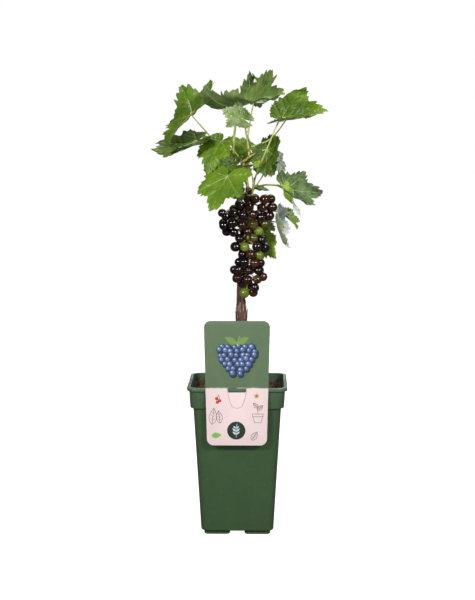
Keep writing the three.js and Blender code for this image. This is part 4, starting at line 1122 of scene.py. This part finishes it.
# Leaf stalks
# Slender green stalks, each from its seat on a limb up to the notch of its leaf and on under the midrib, with a
# thicker reddish brown foot.
STALK = {"foot": 1.3, "tip": 1.0, "end": 0.55, "sides": 9, "sunk": 0.1, "below": 0.35}
COLLAR = {"thick": 1.7, "middle": 1.5, "long": 3.6}
LIMBS = {"trunk": TRUNK, **SHOOTS}
stalks, collars = Heap(), Heap()
for leaf in LEAVES.values():
    limb, share = leaf["on"]
    seat, wood = limb_point(LIMBS[limb], share)
    joint = np.array(leaf["at"], dtype=float)
    bend = (seat + joint) / 2 + [leaf.get("sway", 0), *leaf["bow"]]
    inside = np.array([leaf["long"] * STALK["sunk"]]), np.array([0.0])
    sunk = blade_points(leaf, *inside)[0] - STALK["below"] * blade_normals(leaf, *inside)[0]
    foot, tip = [STALK[end] * leaf.get("stout", 1) for end in ("foot", "tip")]
    rows = [[*seat, foot], [*bend, (foot + tip) / 2], [*joint, tip], [*sunk, STALK["end"]]]
    stalks.add(*limb_mesh(rows, STALK["sides"], 7))
    way = (bend - seat) / np.linalg.norm(bend - seat)
    reaches = [wood * 0.4, wood + COLLAR["middle"], wood + COLLAR["long"]]
    sizes = [max(COLLAR["thick"], foot * 1.1), max(COLLAR["thick"] * 0.95, foot * 1.05), foot * 0.98]
    rows = [[*(seat + way * reach), size] for reach, size in zip(reaches, sizes)]
    collars.add(*limb_mesh(rows, STALK["sides"], 3))
stalk_skin = plain_finish("stalk_skin", (0.62, 0.68, 0.19), (0.44, 0.52, 0.12), 110, 0.45)
hand_over(stalks.piece("leaf_stalks", 60), "leaf", [stalk_skin])
collar_skin = plain_finish("stalk_foot", (0.42, 0.3, 0.1), (0.24, 0.12, 0.05), 220, 0.55)
hand_over(collars.piece("stalk_feet", 60), "shoot", [collar_skin])

# Bunch of grapes
# A long hanging bunch with a shoulder on the left: a green stem that arches forwards from the leading shoot, short
# stalks, and round berries with a thin glossy skin, most of them ripe and nearly black, some red and a few green.
BUNCH = {
    "stem": [
        [10, -1, 552, 1.6], [18, -14, 549, 1.3], [23, -23, 535, 1.2], [22, -27, 512, 1.5], [17, -27, 480, 1.8],
        [15, -27, 430, 1.5], [14, -27, 368, 1.0],
    ],
    "arch": 3, "axis": [15, -27],
    "envelope": [
        [512, -2, 38], [498, 12, 43], [486, 42, 38], [466, 45, 26], [448, 26, 28], [434, 24, 29], [420, 14, 22],
        [404, 24, 24], [388, 24, 27], [372, 12, 16], [358, 6, 8],
    ],
    "front": 22, "back": 18, "layer": 11.6, "spacing": 14.4, "berry": 7, "vary": 0.7, "missing": 0.06,
    "seed": 71, "settle": 24, "clear": 1.2,
}
BERRY_STALK = {"radius": 0.8, "flare": 1.7, "lift": 5, "stagger": 3, "lowest": 371, "highest": 508}
UNRIPE = {  # x and height of the berries that aren't dark yet
    "green": [[33, 463], [12, 437], [28, 421], [14, 368]],
    "turning": [[25, 443], [37, 470], [27, 471], [33, 389], [27, 382]],
}
state = BUNCH["seed"]


def next_number():
    """Repeatable numbers from 0 to 1, the same as in the part's source."""
    global state
    state = state * 16807 % 2147483647
    return state / 2147483647


def envelope_at(height):
    rows = BUNCH["envelope"]
    row = max(1, next(i for i, (level, _, _) in enumerate(rows) if level <= height))
    (z0, left0, right0), (z1, left1, right1) = rows[row - 1], rows[row]
    share = min(max((height - z0) / (z1 - z0), 0), 1)
    return left0 + (left1 - left0) * share, right0 + (right1 - right0) * share


def hung_berries():
    """Berries stand round the stem in layers, then press each other and the trunk apart."""
    fruit = []
    size, layer = BUNCH["berry"], BUNCH["layer"]
    top, bottom = BUNCH["envelope"][0][0] - size, BUNCH["envelope"][-1][0] + size
    level = 0
    while top - level * layer >= bottom - 1:
        height = top - level * layer
        left, right = envelope_at(height)
        middle = BUNCH["axis"][0] + (right - left) / 2
        wide = max((left + right) / 2 - size, 0.5)
        deep = min((BUNCH["front"] + BUNCH["back"]) / 2 - size, wide + 3)
        around = 2 * math.pi * math.hypot(wide, deep) * math.sqrt(0.5)
        count = max(1, math.floor(around / BUNCH["spacing"] + 0.5))
        for i in range(count):
            turn = (i + (level % 2) / 2) / count * 2 * math.pi + (next_number() - 0.5) * 0.5
            skip, fat, lift = next_number(), next_number(), next_number()
            if skip < BUNCH["missing"] and count > 2:
                continue
            centre = np.array([
                middle + wide * math.cos(turn), BUNCH["axis"][1] + deep * math.sin(turn),
                height + (lift - 0.5) * layer * 0.5,
            ])
            fruit.append([centre, size + (fat - 0.5) * 2 * BUNCH["vary"]])
        level += 1
    for _ in range(BUNCH["settle"]):
        settle(fruit)
    return fruit


def settle(fruit):
    for i, (centre, radius) in enumerate(fruit):
        for other, other_radius in fruit[i + 1:]:
            apart = centre - other
            length = math.sqrt(apart @ apart)
            short = radius + other_radius - length
            if short > 0:
                push = apart / length * short / 2
                centre += push
                other -= push
        row = next((k for k, station in enumerate(TRUNK) if station[2] > centre[2]), 0)
        if row < 1:
            continue
        low, high = TRUNK[row - 1], TRUNK[row]
        share = (centre[2] - low[2]) / (high[2] - low[2])
        x, y, wood = [low[k] + (high[k] - low[k]) * share for k in (0, 1, 3)]
        away = math.hypot(centre[0] - x, centre[1] - y)
        need = radius + wood + BUNCH["clear"]
        if away < need:
            centre[:2] = [x + (centre[0] - x) * need / away, y + (centre[1] - y) * need / away]


def stem_at(height):
    rows = BUNCH["stem"][BUNCH["arch"]:]
    row = max(1, next(i for i, station in enumerate(rows) if station[2] <= height))
    share = (height - rows[row - 1][2]) / (rows[row][2] - rows[row - 1][2])
    return np.array(rows[row - 1][:3]) * (1 - share) + np.array(rows[row][:3]) * share


ball_corners, ball_faces = ball(4)
up = ball_corners[:, 2]
dimple = 0.06 * np.exp(-((up + 1) / 0.02) ** 2) - 0.03 * np.exp(-((up - 1) / 0.06) ** 2)
ball_corners = ball_corners * [0.985, 0.985, 1.03] + dimple[:, None] * [0, 0, 1]

random = np.random.default_rng(12)
fruit = hung_berries()
stems = Heap()
stems.add(*limb_mesh(BUNCH["stem"], 10, 6))
GRAPE_COLOURS = {  # light and dark tone of the skin, and the blush over it
    "black": [(0.007, 0.0015, 0.003), (0.0015, 0.0005, 0.0012), (0.026, 0.004, 0.006)],
    "wine": [(0.025, 0.004, 0.004), (0.006, 0.0015, 0.003), (0.055, 0.014, 0.005)],
    "red": [(0.06, 0.011, 0.005), (0.02, 0.003, 0.003), (0.1, 0.045, 0.007)],
    "turning": [(0.06, 0.014, 0.005), (0.03, 0.006, 0.003), (0.17, 0.22, 0.02)],
    "green": [(0.2, 0.31, 0.025), (0.12, 0.19, 0.013), (0.16, 0.1, 0.015)],
}
GRAPE_GLOSS = {"Specular IOR Level": 0.05, "Coat Weight": 1.0, "Coat Roughness": 0.04, "Coat IOR": 1.8}
berries = {kind: Heap() for kind in GRAPE_COLOURS}
unripe = {}
for kind, places in UNRIPE.items():
    for x, z in places:
        off = [math.hypot(centre[0] - x, centre[2] - z) + 0.3 * centre[1] for centre, _ in fruit]
        unripe[off.index(min(off))] = kind
for i, (centre, radius) in enumerate(fruit):
    height = centre[2] + BERRY_STALK["lift"] + (i % 3) * BERRY_STALK["stagger"]
    root = stem_at(min(max(height, BERRY_STALK["lowest"]), BERRY_STALK["highest"]))
    way = (centre - root) / np.linalg.norm(centre - root)
    neck, rest = centre - way * (radius + 0.4), centre - way * (radius - 0.9)
    sag = (root + neck) / 2 + [0, 0, 1.0]
    stems.add(*limb_mesh([
        [*root, BERRY_STALK["radius"]], [*sag, BERRY_STALK["radius"]], [*neck, BERRY_STALK["radius"] * 1.1],
        [*rest, BERRY_STALK["flare"]],
    ], 6, 2))
    late = 0.3 * (centre[0] > 26 and centre[2] > 480) + 0.35 * (centre[0] > 18 and centre[2] < 412)
    ripe = random.random() - late
    kind = unripe.get(i, "red" if ripe < 0.1 else "wine" if ripe < 0.36 else "black")
    up = -way
    side = np.cross(up, [0.3, 0.9, 0.1])
    side /= np.linalg.norm(side)
    rows = np.array([side, np.cross(up, side), up])
    berries[kind].add(ball_corners @ rows * radius + centre, ball_faces)
for kind, (light, dark, blush) in GRAPE_COLOURS.items():
    finish, tree, shader = open_finish("grape_" + kind)
    skin = mottle(tree, light, dark, 70)
    patch = mottled_mask(tree, 36)
    wire(tree, shader, Base_Color=blend_tones(tree, times(tree, patch, 0.5), skin["Colour"], blush),
         Roughness=remap(tree, patch, ends=(0.2, 0.3)))
    for socket, value in GRAPE_GLOSS.items():
        shader.inputs[socket].default_value = value
    stands_for = ["grape_bunch"] if kind == "black" else []
    hand_over(berries[kind].piece("grapes_" + kind, 80), "grape", [finish], *stands_for)
stem_skin = plain_finish("bunch_stem", (0.6, 0.63, 0.18), (0.4, 0.38, 0.1), 160, 0.6)
hand_over(stems.piece("bunch_stems", 60), "grape", [stem_skin])

# Tendril
# The dry end of a tendril that curls off the tip of the leading shoot. It is thin and brown, and narrows as it
# winds upwards.
TENDRIL = {"turns": 15, "step": 0.62, "wide": 4.2, "narrowing": 0.22, "foot": [14.2, -1, 591], "rise": 1.5}
tendril, rows = Heap(), []
for i in range(TENDRIL["turns"]):
    turn, size = i * TENDRIL["step"], TENDRIL["wide"] - TENDRIL["narrowing"] * i
    x, y, z = TENDRIL["foot"]
    rows.append([
        x + size * math.sin(turn) * 0.8, y + size * 0.5 * math.cos(turn), z + i * TENDRIL["rise"], 0.75 - 0.03 * i,
    ])
tendril.add(*limb_mesh(rows, 7, 3))
dry_tip = plain_finish("dry_tendril", (0.4, 0.26, 0.14), (0.2, 0.1, 0.06), 300, 0.7)
hand_over(tendril.piece("tendril", 60), "shoot", [dry_tip])

# Studio
# A round white floor in front of a white surround, two soft boxes beside the camera to the left and right, a weak
# one above, and the camera at the photograph's height, slightly above the middle of the plant.
STUDIO = {"floor": 4.5, "paper": 0.4, "paper_mirrored": 0.05, "paper_glow": 0.97, "fill": 0.17, "glint": 0.05}
SOFT_BOXES = {  # place, size and power
    "soft_box_left": [(-1.15, -1.75, 1.35), (0.3, 0.32), 28.5],
    "soft_box_right": [(1.15, -1.75, 1.35), (0.3, 0.32), 27.5],
    "soft_box_top": [(0.1, 0.5, 2.3), (1.4, 1.1), 30],
    "soft_box_back": [(0.3, 2.3, 1.7), (1.2, 1.2), 14],
}
LIT_PLACE = (0.02, 0, 0.45)
CAMERA = {"lens": 85.9, "place": (0.0383, -2.1684, 0.589), "down": 0.10897, "left": 0.0179}


def seen(tree, by="Is Camera Ray"):
    """1 where the camera, or else a reflection, looks straight at a surface of the studio."""
    return tree.nodes.new("ShaderNodeLightPath").outputs[by]


begin(
    bpy.ops.mesh.primitive_circle_add, vertices=96, radius=STUDIO["floor"], fill_type="NGON",
    location=(0, 0, -0.0004),
)
floor = set_down("studio_floor")
paper, tree, shader = open_finish("studio_paper", 0.9)
shader.inputs["Emission Color"].default_value = (1, 1, 1, 1)
mirrored = seen(tree, "Is Glossy Ray")
wire(tree, shader, Base_Color=remap(tree, mirrored, ends=(STUDIO["paper"], STUDIO["paper_mirrored"])),
     Emission_Strength=times(tree, seen(tree), STUDIO["paper_glow"]))
floor.data.materials.append(paper)

world = bpy.data.worlds.new("studio")
bpy.context.scene.world = world
world.use_nodes = True
tree, background = world.node_tree, world.node_tree.nodes["Background"]
background.inputs["Color"].default_value = (1, 1, 1, 1)
unseen = remap(tree, seen(tree, "Is Glossy Ray"), ends=(STUDIO["fill"], STUDIO["glint"]))
wire(tree, background, Strength=remap(tree, seen(tree), ends=(unseen, 1)))
for name, (place, size, power) in SOFT_BOXES.items():
    light = bpy.data.lights.new(name, "AREA")
    light.shape, light.size, light.size_y, light.energy = "RECTANGLE", *size, power
    lamp = bpy.data.objects.new(name, light)
    lamp.location = place
    lamp.rotation_euler = (Vector(LIT_PLACE) - Vector(place)).to_track_quat("-Z", "Y").to_euler()
    bpy.context.collection.objects.link(lamp)

view = bpy.data.cameras.new("camera")
view.lens = CAMERA["lens"]
camera = bpy.data.objects.new("camera", view)
camera.location = CAMERA["place"]
camera.rotation_euler = (math.pi / 2 - CAMERA["down"], 0, CAMERA["left"])
bpy.context.collection.objects.link(camera)
bpy.context.scene.camera = camera
bpy.context.scene.view_settings.view_transform = "Standard"
